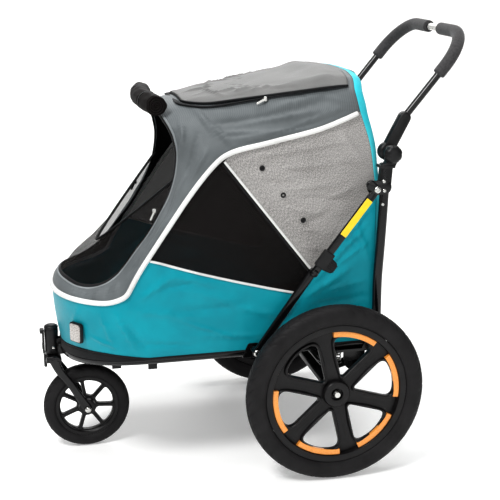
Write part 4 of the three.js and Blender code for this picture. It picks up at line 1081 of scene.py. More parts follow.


# %% Folds, and giving a cloth its thickness
def creases(points, lines):
    """Height of soft ridges at each point: for each (start, end, width, height), the height fades with the
    square of the distance from the line, and to nothing towards the line's two ends."""
    points = np.asarray(points, float)
    height = np.zeros(points.shape[:-1])
    for start, end, width, tall in lines:
        start, end = np.asarray(start, float), np.asarray(end, float)
        along = end - start
        share = np.clip(((points - start) @ along) / (along @ along), 0, 1)
        distance = np.linalg.norm(points - (start + share[..., None] * along), axis=-1)
        fade = np.sin(np.pi * np.clip(share, 0.02, 0.98)) ** 0.6
        height += 1.5 * tall * np.exp(-((distance / width) ** 2)) * fade
    return height


FOLD_DEPTH = 1.7


def ridges(grid, lines, shift=17.0):
    """Soft ridges along [y, z] lines as seen from the side, dropped sideways onto the grid's left half. The
    height fades with the square of the distance from the dropped line, and to nothing at its two ends. The
    right half gets the same ridges moved along y by the shift, so that the two sides differ."""
    left = grid[grid[..., 0] > 0]
    alike = np.stack([np.abs(grid[..., 0]), grid[..., 1] - shift * (grid[..., 0] < 0), grid[..., 2]], -1)
    height = np.zeros(grid.shape[:-1])
    for y0, z0, y1, z1, width, tall in lines:
        share = np.linspace(0, 1, 24)[:, None]
        wanted = np.array([y0, z0]) + share * np.array([y1 - y0, z1 - z0])
        nearest = np.argmin(((left[None, :, 1:] - wanted[:, None]) ** 2).sum(-1), axis=1)
        gaps = np.linalg.norm(alike[..., None, :] - left[nearest], axis=-1)
        fade = np.sin(np.pi * np.clip(share[:, 0], 0.03, 0.97)) ** 0.6
        height += FOLD_DEPTH * tall * (np.exp(-((gaps / (0.8 * width)) ** 2)) * fade).max(axis=-1)
    return height


def normals(grid, around=False):
    """Unit normals of a grid, from the cross product of its column and row steps."""
    if around:
        wide = np.concatenate([grid[:, -2:], grid, grid[:, :2]], axis=1)
        across = np.gradient(wide, axis=1)[:, 2:-2]
    else:
        across = np.gradient(grid, axis=1)
    out = np.cross(across, np.gradient(grid, axis=0))
    return out / (np.linalg.norm(out, axis=2, keepdims=True) + 1e-9)


def pushed(grid, height, around=False):
    """The grid moved outward along its normals."""
    return grid + np.asarray(height)[..., None] * normals(grid, around)


def folds_flat(piece):
    """Gives the piece its own copy of its mesh."""
    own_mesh(piece)


def cloth(name, grid, outside, slot, *nodes, thickness=1.4, inside=None, around=False, mirror=False,
          cut=None):
    """A sewn panel: a grid with a thickness inward and an inner face in lining; its cut size is worked out,
    not used.
    """
    piece = surface(name, grid, around=around, mirror=mirror)
    finish_piece(piece, "chassis", outside, slot, *nodes)
    piece.data.materials.append(inside or outside)
    wall = piece.modifiers.new("thickness", "SOLIDIFY")
    wall.thickness = thickness * MM
    wall.offset = -1.0
    wall.material_offset = 1
    wall.use_rim = True
    folds_flat(piece)
    wide = np.concatenate([grid, grid[:, :1]], axis=1) if around else grid
    width = float(np.linalg.norm(np.diff(wide, axis=1), axis=2).sum(axis=1).max()) * MM
    length = float(np.linalg.norm(np.diff(grid, axis=0), axis=2).sum(axis=0).max()) * MM
    width, length = cut or (width, length)
    return piece


def trim(name, path, radius, material, slot, sides=10, squash=1.0, mirror=False):
    """Piping, binding or zip: a thin round bar on the cloth."""
    bar = tube(name, path, radius, sides, squash=squash, mirror=mirror)
    finish_piece(bar, "chassis", material, slot)
    folds_flat(bar)


# %% [markdown]
# ## Tub
# The teal lower body is one long strip of cloth that runs round the nose from one rear corner to the other.
# Its bottom edge hugs the outer side of the base tube, and its top edge is the seam of nose, window and
# brace. It could be four flat panels, but real cloth turns the corners. So the strip is one function of two
# parameters: how far round the body, and how far up. Its folds are ridges that fan out from the reflector
# and from the brace's knee. Each ridge is given as a line seen from the side and dropped onto the cloth.

# %% Seam lines of the cabin
HALF, TUB_HALF, TUB_REACH = 203.0, 208.6, 178.0
NOSE_HALF, NOSE_Y, NOSE_DEPTH, NOSE_Z = 200.0, -440.0, 152.0, 410.0
NOSE_CORNER, WINDOW_FRONT, WINDOW_TOP = (-445.0, 427.0), (-394.0, 513.0), (-240.0, 717.5)
WINDOW_PEAK, WINDOW_KNEE = (-228.0, 715.0), (-25.0, 453.0)
WINDOW_REAR, BRACE_SEAM = (-56.0, 407.0), (112.0, 632.0)
TUB_LINE = [(-393.0, 505.0), (-371, 498.5), (-328, 483.5), (-284, 469), (-240, 456), (-195, 443),
            (-127, 424.5), (-56, 407)]
FRONT_SLOPE = [WINDOW_FRONT, (-346, 583), (-301, 647), (-268, 688.5), (-249, 709)]
SIDE_SEAM = [NOSE_CORNER, (-416, 480), *FRONT_SLOPE, (-233, 724.5), (-214, 734)]
TOP_SEAM = [(-214, 734), (-194, 739.5), (-150, 747.5), (-106, 757), (-62, 766), (-17, 776.5), (27, 792),
            (74, 811)]
REAR_SEAM = [(75, 808), (87, 775), (97, 744), (105, 704), (110, 668), (115, 640)]
TUB_FLOOR = 291.3
RING_SIDE = [(160, -455, 468), (159, -438, 488), (157, -418, 514), (156, -395, 542), (155, -361, 595),
             (155, -338, 640), (155, -324, 691), (153, -321, 735), (147, -327, 767)]
ROOF_REAR = [(203, 74, 811), (203, 67, 836), (194, 63, 858), (168, 68, 875), (110, 78, 883), (55, 85, 885),
             (0, 88, 885)]


def nose_edge(angle):
    """Half ellipse of the nose piping. High even powers of the cosine lift both ends into the side seam."""
    height = NOSE_Z - 2.5 * np.sin(angle) ** 4 + 2.4 * np.cos(angle) ** 4 + 14.6 * np.cos(angle) ** 60
    return np.stack([NOSE_HALF * np.cos(angle) + 3 * np.cos(angle) ** 9,
                     NOSE_Y - NOSE_DEPTH * np.sin(angle), height], -1)


def opening_edge(angle):
    """Lower half of the front opening's edge: a half ellipse whose height is read from a table of angles."""
    turned_in = np.arcsin(np.clip(np.sin(angle), 0, 1))
    height = np.interp(turned_in, np.radians([0, 6, 12, 17, 22, 28, 34, 41, 48, 64, 90]),
                       [468, 457, 448, 442.5, 438, 434.5, 432, 431, 431, 435, 437])
    return np.stack([160 * np.cos(angle), -455 - 122 * np.sin(angle), height], -1)


def tub_top(y):
    """Height of the tub's top edge on a side: up the nose corner, down under the window, up the brace
    seam."""
    points = [NOSE_CORNER, (-438, 441), (-416, 480)] + TUB_LINE + [BRACE_SEAM, (118, 640)]
    return np.interp(y, *np.array(points, float).T)


TUB_FOLDS = [
    # from under the nose corner and the reflector
    (-440, 400, -300, 372, 12, 3.4), (-330, 368, -215, 322, 6, 3.0), (-350, 384, -180, 392, 12, -2.6),
    (-470, 392, -425, 300, 7, 2.8), (-500, 388, -470, 305, 7, 2.4), (-452, 372, -400, 300, 7, -2.2),
    (-360, 470, -240, 440, 12, 3.0), (-370, 440, -290, 452, 9, -2.4), (-420, 420, -340, 470, 9, 2.6),
    (-330, 440, -200, 400, 14, 2.6), (-545, 395, -560, 300, 8, 2.0), (-520, 330, -470, 312, 6, 2.0),
    (-300, 330, -150, 318, 9, 2.4), (-240, 400, -110, 360, 11, 2.6), (-420, 320, -300, 306, 7, -2.0),
    # from the brace to the rear corner
    (-120, 330, -60, 400, 7, 2.8), (-40, 400, 70, 470, 9, 3.2), (-20, 440, 95, 560, 8, 3.0),
    (-120, 335, 60, 372, 9, 2.8), (20, 500, 105, 600, 7, 2.6), (-30, 380, 100, 392, 8, -2.4),
    (60, 590, 104, 470, 8, 2.4), (-110, 312, 80, 330, 8, 2.2), (0, 410, 90, 430, 7, 2.6),
    (40, 540, 90, 500, 8, -2.2), (30, 470, 100, 520, 6, 2.2),
]


def tub_bottom(angle):
    """Lower edge round the nose, hugging the base tube's outer side and riding a little above it."""
    turned_in = np.degrees(np.arcsin(np.clip(np.sin(angle), 0, 1)))
    height = np.interp(turned_in, [0, 15, 31, 46, 58, 70, 83, 90],
                       [284, 289.5, 292.5, 291.5, 289, 284, 279, 278.5])
    return np.stack([TUB_HALF * np.cos(angle), TUBE_BEND - TUB_REACH * np.sin(angle), height], -1)


def round_the_nose(side, nose):
    """Right side, nose and left side as one line; side runs from the left rear corner to the nose."""
    return np.concatenate([(side * FLIP)[:-1], nose, side[::-1][1:]])


def tub_wall():
    """Columns run from the right rear corner round the nose to the left rear corner, rows from floor to
    seam."""
    y = np.concatenate([np.linspace(116, 112, 3), np.linspace(112, -56, 52)[1:],
                        np.linspace(-56, -393, 70)[1:], np.linspace(-393, -440, 14)[1:]])
    turn = np.linspace(np.pi, 0, 130)
    ones = np.ones(len(y))
    top = round_the_nose(np.stack([HALF * ones, y, tub_top(y)], -1), nose_edge(turn))
    low = round_the_nose(np.stack([TUB_HALF * ones, 116 - (116 - y) * 516 / 556, 284 * ones], -1),
                         tub_bottom(turn))
    v = np.linspace(0, 1, 72)[:, None, None]
    grid = low + (top - low) * v
    fullness = 3.0 * np.sin(np.pi * v[..., 0]) ** 0.7
    folds = ridges(grid, TUB_FOLDS)
    held = np.clip(np.minimum(v[..., 0], 1 - v[..., 0]) / 0.06, 0, 1)
    grid = pushed(grid, (fullness + folds) * held)
    cloth("teal_tub", grid, TEAL, "teal_cloth", "tub_side_left", "tub_side_right", "tub_front", inside=TEAL)


tub_wall()

# %% [markdown]
# A black sleeve is sewn under the tub's lower edge and pulled over the base tube, which holds the cabin
# down. It is seen as the dark band that is widest beside the nose, where the tube dips below the tub. A
# bent tube would need a cut-away back, so the sleeve is a strip between two lines: the tub's edge and the
# tube's outer side.


# %% Sleeve that closes the tub onto the base tube
def base_sleeve():
    """Five rows from the tube's outer side, whose height dips by a sine squared, up to the tub's lower
    edge."""
    turn = np.linspace(np.pi, 0, 130)
    y = np.linspace(116, TUBE_BEND, 60)
    ones = np.ones(60)
    dip = TUBE_Z - 3 - NOSE_DROP * np.sin(turn) ** 2
    nose_low = np.stack([208.9 * np.cos(turn), TUBE_BEND - 181.4 * np.sin(turn), dip], -1)
    top = round_the_nose(np.stack([208.3 * ones, y, 285 * ones], -1), tub_bottom(turn) + (0, 0, 1.0))
    low = round_the_nose(np.stack([208.9 * ones, y, (TUBE_Z - 3) * ones], -1), nose_low)
    v = np.linspace(0, 1, 5)[:, None, None]
    cloth("base_sleeve", low + (top - low) * v, BINDING, "black_mesh", inside=BINDING)


base_sleeve()

# %% [markdown]
# ## Hood
# The grey hood is one sheet from the zip round the front opening out to the white piping. It is a ring:
# each column starts at the piping and ends at the zip, and the columns go once round the opening, over the
# nose, up one side, across the roof and down the other side. The straight line between the two edges is
# lifted by a soft swell, largest on the roof, where hoops hold the cloth up.


# %% The hood's two edges and its surface
def hood_edges(w):
    """Outer and inner edge at w from 0 to 2: nose, left side, roof middle at 1, right side, nose again."""
    w = np.asarray(w, float) % 2
    u = np.where(w <= 1, w, 2 - w)
    side = np.where(w <= 1, 1.0, -1.0)
    nose_t = np.linspace(np.pi / 2, 0.0, 400)
    t = np.linspace(0, 1, 400)
    outer_runs = [nose_edge(nose_t), spline(at_x(SIDE_SEAM, HALF), t), spline(at_x(TOP_SEAM, HALF), t),
                  spline(ROOF_REAR, t)]
    inner_runs = [opening_edge(nose_t), spline(RING_SIDE, t),
                  spline([(147, -327, 767), (140, -334, 783), (125, -341, 797)], t),
                  spline([(125, -341, 797), (95, -346, 808), (60, -349, 815), (0, -350, 820)], t)]
    knots = [0.0, 0.25, 0.6, 0.8, 1.0]
    place = np.concatenate([np.linspace(a, b, 400, endpoint=b == 1.0) for a, b in zip(knots, knots[1:])])
    edges = []
    for runs in (outer_runs, inner_runs):
        line = np.concatenate(runs)
        edge = np.stack([np.interp(u, place, line[:, axis]) for axis in range(3)], -1)
        edge[..., 0] *= side
        edges.append(edge)
    return edges[0], edges[1], u


def hood_surface(w, v):
    """Outer edge at v = 0, zip at v = 1. The line between is lifted by a swell, a power of the distance from
    its middle, that is highest on the shoulders."""
    w, v = np.broadcast_arrays(np.asarray(w, float), np.asarray(v, float))

    def base(w_at, v_at):
        outer, inner, _ = hood_edges(w_at)
        return outer + (inner - outer) * v_at[..., None]

    step = 0.012
    across = base(w + step, v) - base(w - step, v)
    down = base(w, np.clip(v + step, 0, 1)) - base(w, np.clip(v - step, 0, 1))
    normal = np.cross(across, down)
    normal /= np.linalg.norm(normal, axis=-1, keepdims=True) + 1e-9
    _, _, u = hood_edges(w)
    amount = np.interp(u, [0, 0.2, 0.28, 0.55, 0.68, 0.8, 1.0], [4, 5, 8, 9, 9, 6, 3])
    power = np.interp(u, [0, 0.6, 0.8], [2, 3, 8])
    swell = amount * (1 - np.abs(2 * v - 1) ** power)
    return base(w, v) + swell[..., None] * normal


HOOD_FOLDS = [
    # ripples over the side, above the white piping: y, z of both ends, width, height
    (-218, 757, -47, 781, 8, 3.2), (-269, 808, -196, 737, 10, 3.6), (-196, 786, 31, 822, 9, 3.4),
    (-143, 802, 19, 839, 8, -2.6), (-63, 788, 58, 827, 8, 2.8), (-248, 788, -114, 805, 9, -2.6),
    (-230, 773, -130, 773, 7, 2.6), (-204, 746, -92, 763, 6, -2.0), (8, 846, 68, 818, 8, 2.6),
    (-277, 821, -244, 765, 9, 3.0), (-150, 760, 10, 800, 6, -2.2), (-110, 822, 0, 850, 8, 2.4),
    # long folds down the shoulder, between the opening and the white piping
    (-306, 784, -322, 695, 7, 3.2), (-278, 771, -314, 666, 8, -2.8), (-298, 704, -339, 623, 7, 3.0),
    (-263, 738, -299, 678, 7, 2.8), (-330, 653, -366, 576, 7, -2.6), (-348, 602, -389, 533, 7, 2.8),
    (-365, 607, -404, 525, 6, -2.2), (-314, 804, -306, 739, 7, 2.8), (-396, 508, -428, 462, 6, 2.6),
    (-410, 515, -440, 470, 5, -2.2), (-380, 552, -410, 498, 6, 2.2),
    # pleats of the apron round the nose
    (-470, 432, -462, 456, 5, 2.2), (-490, 424, -478, 446, 5, -2.0), (-512, 418, -498, 438, 6, 2.2),
    (-540, 414, -522, 434, 6, -1.8), (-560, 412, -545, 434, 6, 2.0),
]


def eased(grid, reach, share):
    """Each point moved by a share towards the bell-weighted mean of its neighbours in the row."""
    offsets = np.arange(-3 * reach, 3 * reach + 1)
    weights = np.exp(-((offsets / reach) ** 2))
    mean = sum(weight * np.roll(grid, int(offset), axis=1) for weight, offset in zip(weights, offsets))
    return grid + share * (mean / weights.sum() - grid)


def hood():
    """The hood's surface, eased round its corners, with its ridges and two slow sines pushed out of it."""
    w = np.linspace(0, 2, 440, endpoint=False)[None, :]
    v = np.linspace(0, 1, 96)[:, None]
    grid = hood_surface(w, v)
    grid = eased(grid, 7, np.clip(np.minimum(v, 1 - v) / 0.16, 0, 1)[..., None] ** 0.7)
    slow = (1.1 * np.sin(grid[..., 2] / 9.5 + grid[..., 0] / 31.0) * np.sin(grid[..., 1] / 47.0)
            + 0.7 * np.sin(grid[..., 1] / 13.0 + grid[..., 2] / 21.0))
    held = np.clip(np.minimum(v, 1 - v) / 0.1, 0, 1)
    grid = pushed(grid, (ridges(grid, HOOD_FOLDS) + 0.8 * slow) * held, around=True)
    cloth("grey_hood", grid, DARK_GREY, "dark_grey_cloth", "front_apron", "front_shoulder_left",
          "front_shoulder_right", "roof_panel", inside=LINING, around=True, cut=(1.02, 0.86))


hood()

# %% [markdown]
# A lighter cover lies over the roof, bound in black and closed by a zip along its edge. It is cut from the
# same surface as the hood, between two places round it, and lifted off by a few millimetres, so it follows
# the roof.


# %% Roof cover and its zip
FLAP_FOLDS = [(-260, 835, -60, 862, 9, 3.0), (-230, 830, -150, 846, 7, -2.4), (-120, 836, 40, 872, 9, 2.8),
              (-40, 850, 60, 862, 8, 2.6), (-180, 850, -40, 858, 8, -2.2), (-280, 845, -200, 838, 7, 2.6)]


def roof_flap():
    """The hood's surface between two places round it, raised a few mm, with its front corners drawn in on
    quarter-circles. The zip's tape runs beside it and is thickest across the front. Returns the pull's
    place."""
    w = np.linspace(0.848, 1.152, 120)[None, :]
    v = np.linspace(0.03, 0.875, 90)[:, None]
    corner = 1 - np.sqrt(1 - np.clip((v - 0.72) / 0.156, 0, 1) ** 2)
    w_in = 1 + (w - 1) * (1 - 0.42 * corner)
    grid = hood_surface(w_in, v + 0 * w)
    edge = np.minimum(np.minimum(v - 0.03, 0.875 - v) * 12, (0.152 - np.abs(w - 1)) * 26)
    held = np.clip(edge, 0, 1)
    lift = 2.6 + 3.6 * held ** 0.5 + 5.0 * np.exp(-(((v - 0.14) / 0.06) ** 2)) * held
    x, y = grid[..., 0], grid[..., 1]
    wave = 1.1 * np.sin(y / 17.0 + 1.2 * np.sin(x / 41.0)) * np.sin(x / 33.0 + 0.7)
    grid = pushed(grid, lift + (wave + ridges(grid, FLAP_FOLDS)) * held)
    cloth("roof_cover", grid, ROOF_GREY, "light_grey_cloth", "roof_flap", inside=LINING)
    full = np.concatenate([grid[:, 0], grid[-1][1:], grid[::-1, -1][1:]])
    trim("roof_cover_binding", evenly(full, 160), 2.6, BINDING, "dark_grey_cloth", 8)
    bend = 0.72 + 0.175 * np.sin(np.linspace(0, np.pi / 2, 40))
    half_v = np.concatenate([np.linspace(0.06, 0.72, 60), bend[1:]])
    corner = 1 - np.sqrt(1 - np.clip((half_v - 0.72) / 0.176, 0, 1) ** 2)
    spread = np.interp(half_v, [0.06, 0.45, 0.8], [0.1505, 0.156, 0.166]) * (1 - 0.40 * corner)
    near = hood_surface(1 - spread, half_v) + (0, 0, 1.0)
    far = near[::-1] * FLIP
    radius = np.interp(np.linspace(0, 1, 240), [0, 0.2, 0.42, 0.58, 0.8, 1], [2.0, 3.0, 6.0, 6.0, 3.0, 2.0])
    trim("roof_zip_tape", evenly(np.concatenate([near, far]), 240), radius, BINDING, "dark_grey_cloth", 10,
         squash=0.45)
    return near[np.argmin(np.abs(near[:, 1] + 129))]


ROOF_ZIP_AT = roof_flap()
print("roof zip passes", ROOF_ZIP_AT.round(1))

# %% [markdown]
# ## Sides
# Each side has a black mesh window and a heather grey panel behind it. Both are stretched flat between
# their seams, with slow ripples where the hoops and the brace pull. A four-sided patch that blends its four
# edge curves (a Coons patch) fits each of them exactly to the seams.


# %% Window and heather panel
def coons(bottom, top, left, right):
    """Blend of two edge pairs less the flat blend of the four corners. All curves are rows of points."""
    s = np.linspace(0, 1, len(bottom))[None, :, None]
    t = np.linspace(0, 1, len(left))[:, None, None]
    along = (1 - t) * bottom[None] + t * top[None]
    up = (1 - s) * left[:, None] + s * right[:, None]
    corners = ((1 - s) * (1 - t) * bottom[0] + s * (1 - t) * bottom[-1]
               + (1 - s) * t * top[0] + s * t * top[-1])
    return along + up - corners


HEATHER_FOLDS = [(-216, 712, -146, 636, 9, 2.4), (-172, 721, 40, 747, 8, 2.2), (-146, 689, 52, 706, 8, 2.4),
                 (-128, 649, 19, 654, 8, 2.2), (-101, 607, 9, 587, 8, 2.2), (-78, 565, -9, 547, 7, 2.2),
                 (-59, 518, -17, 507, 6, 2.0), (-61, 733, 76, 683, 9, -2.2), (28, 774, 80, 705, 8, 2.2),
                 (-3, 620, 59, 644, 8, 2.4), (-161, 672, -60, 654, 8, -2.0), (-90, 630, 40, 618, 7, -1.8),
                 (-120, 700, -20, 676, 8, -2.0), (-60, 560, 20, 600, 8, -2.0)]


def side_panels(side, mirror):
    """Two Coons patches. The window sags inward by a product of sines; the heather panel gets its ridges."""
    front = evenly(at_x([TUB_LINE[0], *FRONT_SLOPE, WINDOW_TOP, WINDOW_PEAK], HALF), 50)
    window = coons(evenly(at_x(TUB_LINE, HALF), 70), evenly(at_x([WINDOW_PEAK, WINDOW_KNEE], HALF), 70),
                   front, evenly(at_x([WINDOW_REAR, WINDOW_KNEE], HALF), 50))
    s, t = np.linspace(0, 1, 70)[None], np.linspace(0, 1, 50)[:, None]
    sag = (0.8 * np.sin(window[..., 2] / 17.0) - 5.0 * np.sin(np.pi * t)) * np.sin(np.pi * s)
    cloth(f"mesh_window_{side}", pushed(window, sag), MESH, "black_mesh", f"side_window_{side}",
          thickness=0.8, mirror=mirror)
    bottom = evenly(at_x([WINDOW_KNEE, BRACE_SEAM], HALF), 110)
    top_seam = spline(at_x(TOP_SEAM, HALF), np.linspace(0, 1, 40))
    top = evenly(np.concatenate([at_x([WINDOW_PEAK], HALF), top_seam]), 110)
    left = evenly(at_x([WINDOW_KNEE, WINDOW_PEAK], HALF), 110)
    right = evenly(np.concatenate([spline(at_x(REAR_SEAM[::-1], HALF), np.linspace(0, 1, 30)),
                                   at_x([(74, 811)], HALF)]), 110)
    right[0] = (HALF, *BRACE_SEAM)
    panel = coons(bottom, top, left, right)
    s, t = np.linspace(0, 1, 110)[None], np.linspace(0, 1, 110)[:, None]
    hold = np.clip(np.minimum(np.minimum(s, 1 - s), np.minimum(t, 1 - t)) / 0.08, 0, 1)
    y, z = panel[..., 1], panel[..., 2]
    ripple = (1.3 * np.sin(z / 8.5 + 0.9 * np.sin(y / 37.0)) * np.sin(y / 53.0 + 1)
              + 3.0 * np.sin(np.pi * s) * np.sin(np.pi * t))
    panel = pushed(panel, (ripple + ridges(panel, HEATHER_FOLDS)) * hold)
    cloth(f"heather_side_{side}", panel, HEATHER, "heather_cloth", f"hood_side_{side}", inside=LINING,
          mirror=mirror)


for part_side, part_mirror in SIDES:
    side_panels(part_side, part_mirror)

# %% [markdown]
# ## Back of the cabin
# The rear wall is teal, with a mesh window under the roof. A pale teal strip joins it to the sides and the
# roof. The strip is seen end-on from the side as the bright edge behind the heather cloth.


# %% Rear wall, its strip and its window
def rear_edge(t):
    """The seam from the floor at the left, up the rear edge and along the roof's rear edge to the middle."""
    up = [(HALF, 116, TUB_FLOOR + 2), (HALF, 116, 450), (HALF, 116, 645)]
    line = np.concatenate([evenly(up, 40), spline(at_x(REAR_SEAM[::-1], HALF), np.linspace(0, 1, 30))[1:],
                           spline(ROOF_REAR, np.linspace(0, 1, 60))])
    return spline(evenly(line, 90), t)


def rear_strip_grid():
    """Right floor corner over the roof to the left floor corner. The rows follow a quarter-ellipse, back by
    13 to 21 mm and slightly inward."""
    half_edge = rear_edge(np.linspace(0, 1, 120))
    edge = np.concatenate([half_edge * FLIP, half_edge[::-1][1:]])
    drop = np.clip(edge[:, 2] - 640, 0, 300) * 0.035
    towards = np.stack([-edge[:, 0] * 0.05, np.zeros(len(edge)), -drop], -1)
    rows = np.linspace(0, 1, 9)[:, None, None]
    depth = 13.0 + 8.0 * np.clip((edge[:, 2] - 700) / 130, 0, 1)
    step_back = depth[:, None] * np.array([0.0, 1.0, 0.0]) * np.sin(0.5 * np.pi * rows)
    return edge[None] + towards * (1 - np.cos(0.5 * np.pi * rows)) + step_back


STRIP = rear_strip_grid()
cloth("rear_edge_strip", STRIP, PALE_TEAL, "teal_cloth", inside=LINING)
REAR_LINE = STRIP[-1][STRIP.shape[1] // 2:][::-1]       # left floor corner up to the roof's middle


def rear_point(across, up):
    """up runs along the strip's inner edge from the floor to the roof's middle, across from 1, left, to
    -1."""
    across, up = np.broadcast_arrays(np.asarray(across, float), np.asarray(up, float))
    side = spline(REAR_LINE[::2], up)
    crown = (6 + 5 * np.clip((side[..., 2] - TUB_FLOOR) / 570, 0, 1) ** 2) * np.clip(side[..., 0] / 60, 0, 1)
    return np.stack([side[..., 0] * across, side[..., 1] + crown * (1 - across**2) ** 0.8, side[..., 2]], -1)


REAR_FOLDS = [((-150, 130, 330), (60, 130, 420), 9, 2.2), ((150, 130, 320), (-40, 130, 400), 9, 2.0),
              ((-170, 130, 500), (-120, 130, 340), 8, 1.8), ((170, 130, 520), (110, 130, 350), 8, 2.0),
              ((-150, 130, 760), (-185, 130, 640), 8, 1.8), ((150, 130, 780), (186, 130, 650), 8, 1.8)]


def rear_wall():
    """The wall's grid with its ridges, then window and pocket: parts of the same grid, pushed out a
    little."""
    across, up = np.linspace(1, -1, 120)[None, :], np.linspace(0, 1, 120)[:, None]
    grid = rear_point(across, up)
    hold = np.clip(np.minimum(np.minimum(up, 1 - up), 0.5 - 0.5 * np.abs(across)) / 0.06, 0, 1)
    ripple = 0.9 * np.sin(grid[..., 2] / 11.0 + grid[..., 0] / 60.0)
    grid = pushed(grid, (creases(grid, REAR_FOLDS) + ripple) * hold)
    cloth("rear_wall_cloth", grid, TEAL, "teal_cloth", "rear_wall", inside=LINING)
    zone = np.linspace(0.66, -0.66, 60)[None, :], np.linspace(0.32, 0.70, 60)[:, None]
    window = pushed(rear_point(*zone), 3.4 + np.zeros((60, 60)))
    cloth("rear_mesh_window", window, REAR_MESH, "black_mesh", thickness=0.8)
    rim = np.concatenate([window[0], window[1:, -1], window[-1][::-1][1:], window[::-1, 0][1:-1]])
    rim = evenly(np.concatenate([rim, rim[:1]]), 200)
    trim("rear_window_binding", rim, 3.2, BINDING, "black_mesh", 10, squash=0.6)
    pocket = pushed(rear_point(np.linspace(0.5, -0.5, 50)[None, :], np.linspace(0.10, 0.25, 30)[:, None]),
                    5.0 + np.zeros((30, 50)) + 2.0 * np.sin(np.linspace(0, np.pi, 50))[None, :])
    cloth("rear_pocket", pocket, TEAL, "teal_cloth", inside=LINING)
    trim("rear_pocket_hem", pocket[-1], 3.0, BINDING, "dark_grey_cloth", 10, squash=0.6)


rear_wall()

# %% [markdown]
# ## Piping, binding and zips
# The white lines are reflecting tape sewn into the seams, rounded like piping. The zips are black tape with
# a bright slider. All are thin bars carried along the same edge lines that the panels use, so they meet the
# cloth everywhere.


# %% White piping
def piping():
    """Thick piping along the hood's outer edge, eased at its corners; thin lines along tub, window and
    brace."""
    w = np.linspace(-0.795, 0.795, 420)
    outer, _, _ = hood_edges(w)
    outward = outer - np.array([0.0, -150.0, 500.0])
    outward[:, 2] = 0
    outward /= np.linalg.norm(outward, axis=1, keepdims=True)
    line = evenly(outer + 1.2 * outward, 420)
    line[9:-9] = eased(line[None], 4, 1.0)[0, 9:-9]
    trim("white_seam_piping", line, 5.7, PIPING, "light_grey_cloth", 12)
    for side, mirror in SIDES:
        low = evenly(at_x(TUB_LINE, HALF + 0.8), 60)
        trim(f"white_tub_line_{side}", low, 2.9, PIPING, "light_grey_cloth", 8, mirror=mirror)
        slant = evenly(at_x([WINDOW_PEAK, WINDOW_KNEE], HALF + 0.8), 60)
        trim(f"white_window_line_{side}", slant, 2.9, PIPING, "light_grey_cloth", 8, mirror=mirror)
        inset = [(WINDOW_PEAK[0] - 3, WINDOW_PEAK[1] - 6), (WINDOW_KNEE[0] - 6, WINDOW_KNEE[1] - 3),
                 (WINDOW_REAR[0] + 2, WINDOW_REAR[1] + 4)]
        bound = evenly(at_x(inset, HALF + 0.4), 70)
        trim(f"window_binding_{side}", bound, 2.2, BINDING, "black_mesh", 8, mirror=mirror)
        seam = evenly(at_x([WINDOW_REAR, BRACE_SEAM], HALF + 0.4), 70)
        trim(f"brace_seam_{side}", seam, 2.4, BINDING, "black_mesh", 8, mirror=mirror)


piping()
print("piping made")


# %% Zip round the front opening, and zip pulls
def opening_zip():
    """Two flat rings, piping and tape, whose oval section is carried round the opening, turned to face
    out."""
    w = np.linspace(0, 2, 400, endpoint=False)
    _, ring, _ = hood_edges(w)
    closed = evenly(np.concatenate([ring, ring[:1]]), 401)[:-1]
    forward = np.roll(closed, -1, 0) - np.roll(closed, 1, 0)
    forward /= np.linalg.norm(forward, axis=1, keepdims=True)
    outward = closed - np.array([0.0, -420.0, 600.0])
    outward -= (outward * forward).sum(1, keepdims=True) * forward
    outward /= np.linalg.norm(outward, axis=1, keepdims=True)
    above = np.cross(forward, outward)
    turn = np.linspace(0, 2 * np.pi, 10, endpoint=False)[None, :, None]

    def band(name, across, half, thick, material, slot):
        """across moves the ring outward in the opening's plane; half and thick are its oval's half sizes."""
        grid = ((closed + across * outward)[:, None] + half * np.cos(turn) * outward[:, None]
                + thick * np.sin(turn) * above[:, None])
        piece = surface(name, grid, around=True, ring=True)
        piece.data.flip_normals()
        finish_piece(piece, "chassis", material, slot)
        folds_flat(piece)

    band("opening_piping", 0.5, 2.6, 2.6, EDGE_GREY, "dark_grey_cloth")
    band("opening_zip_tape", -5.5, 4.4, 1.0, BINDING, "black_mesh")


opening_zip()


def zip_pull(name, place, lean, mirror=False):
    """A slider box with a small tab hanging from it, both die-cast and nickel-plated."""
    x, y, z = place
    corners = [(y - 4, z - 5), (y + 4, z - 5), (y + 4, z + 5), (y - 4, z + 5)]
    body = plate("body", rounded(corners, 2.0, 4), (x, x + 4.5), 1.2, mirror)
    tip = np.array([y, z]) + 20 * np.array([np.cos(lean), np.sin(lean)])
    tab = plate("tab", strap((y, z), tip, 5.0, 8), (x + 4.4, x + 6.0), 0.6, mirror)
    folds_flat(finish_piece(creased(joined(name, [body, tab]), 40), "chassis", STEEL, "bright_steel"))


zip_pull("opening_zip_pull", (153, -374, 604), np.radians(245))
zip_pull("opening_zip_pull_right", (153, -374, 604), np.radians(245), True)
zip_pull("roof_zip_pull", ROOF_ZIP_AT + (3.0, 0.0, -2.0), np.radians(205))

# %% [markdown]
# ## Front mesh
# The lower half of the front opening is closed by a see-through bib, zipped at its sides, whose free edge
# dips into a V. The rest of the mesh door is rolled up and tied under the roof. The bib is one sheet: its
# rows go from the opening's lower edge to the V.


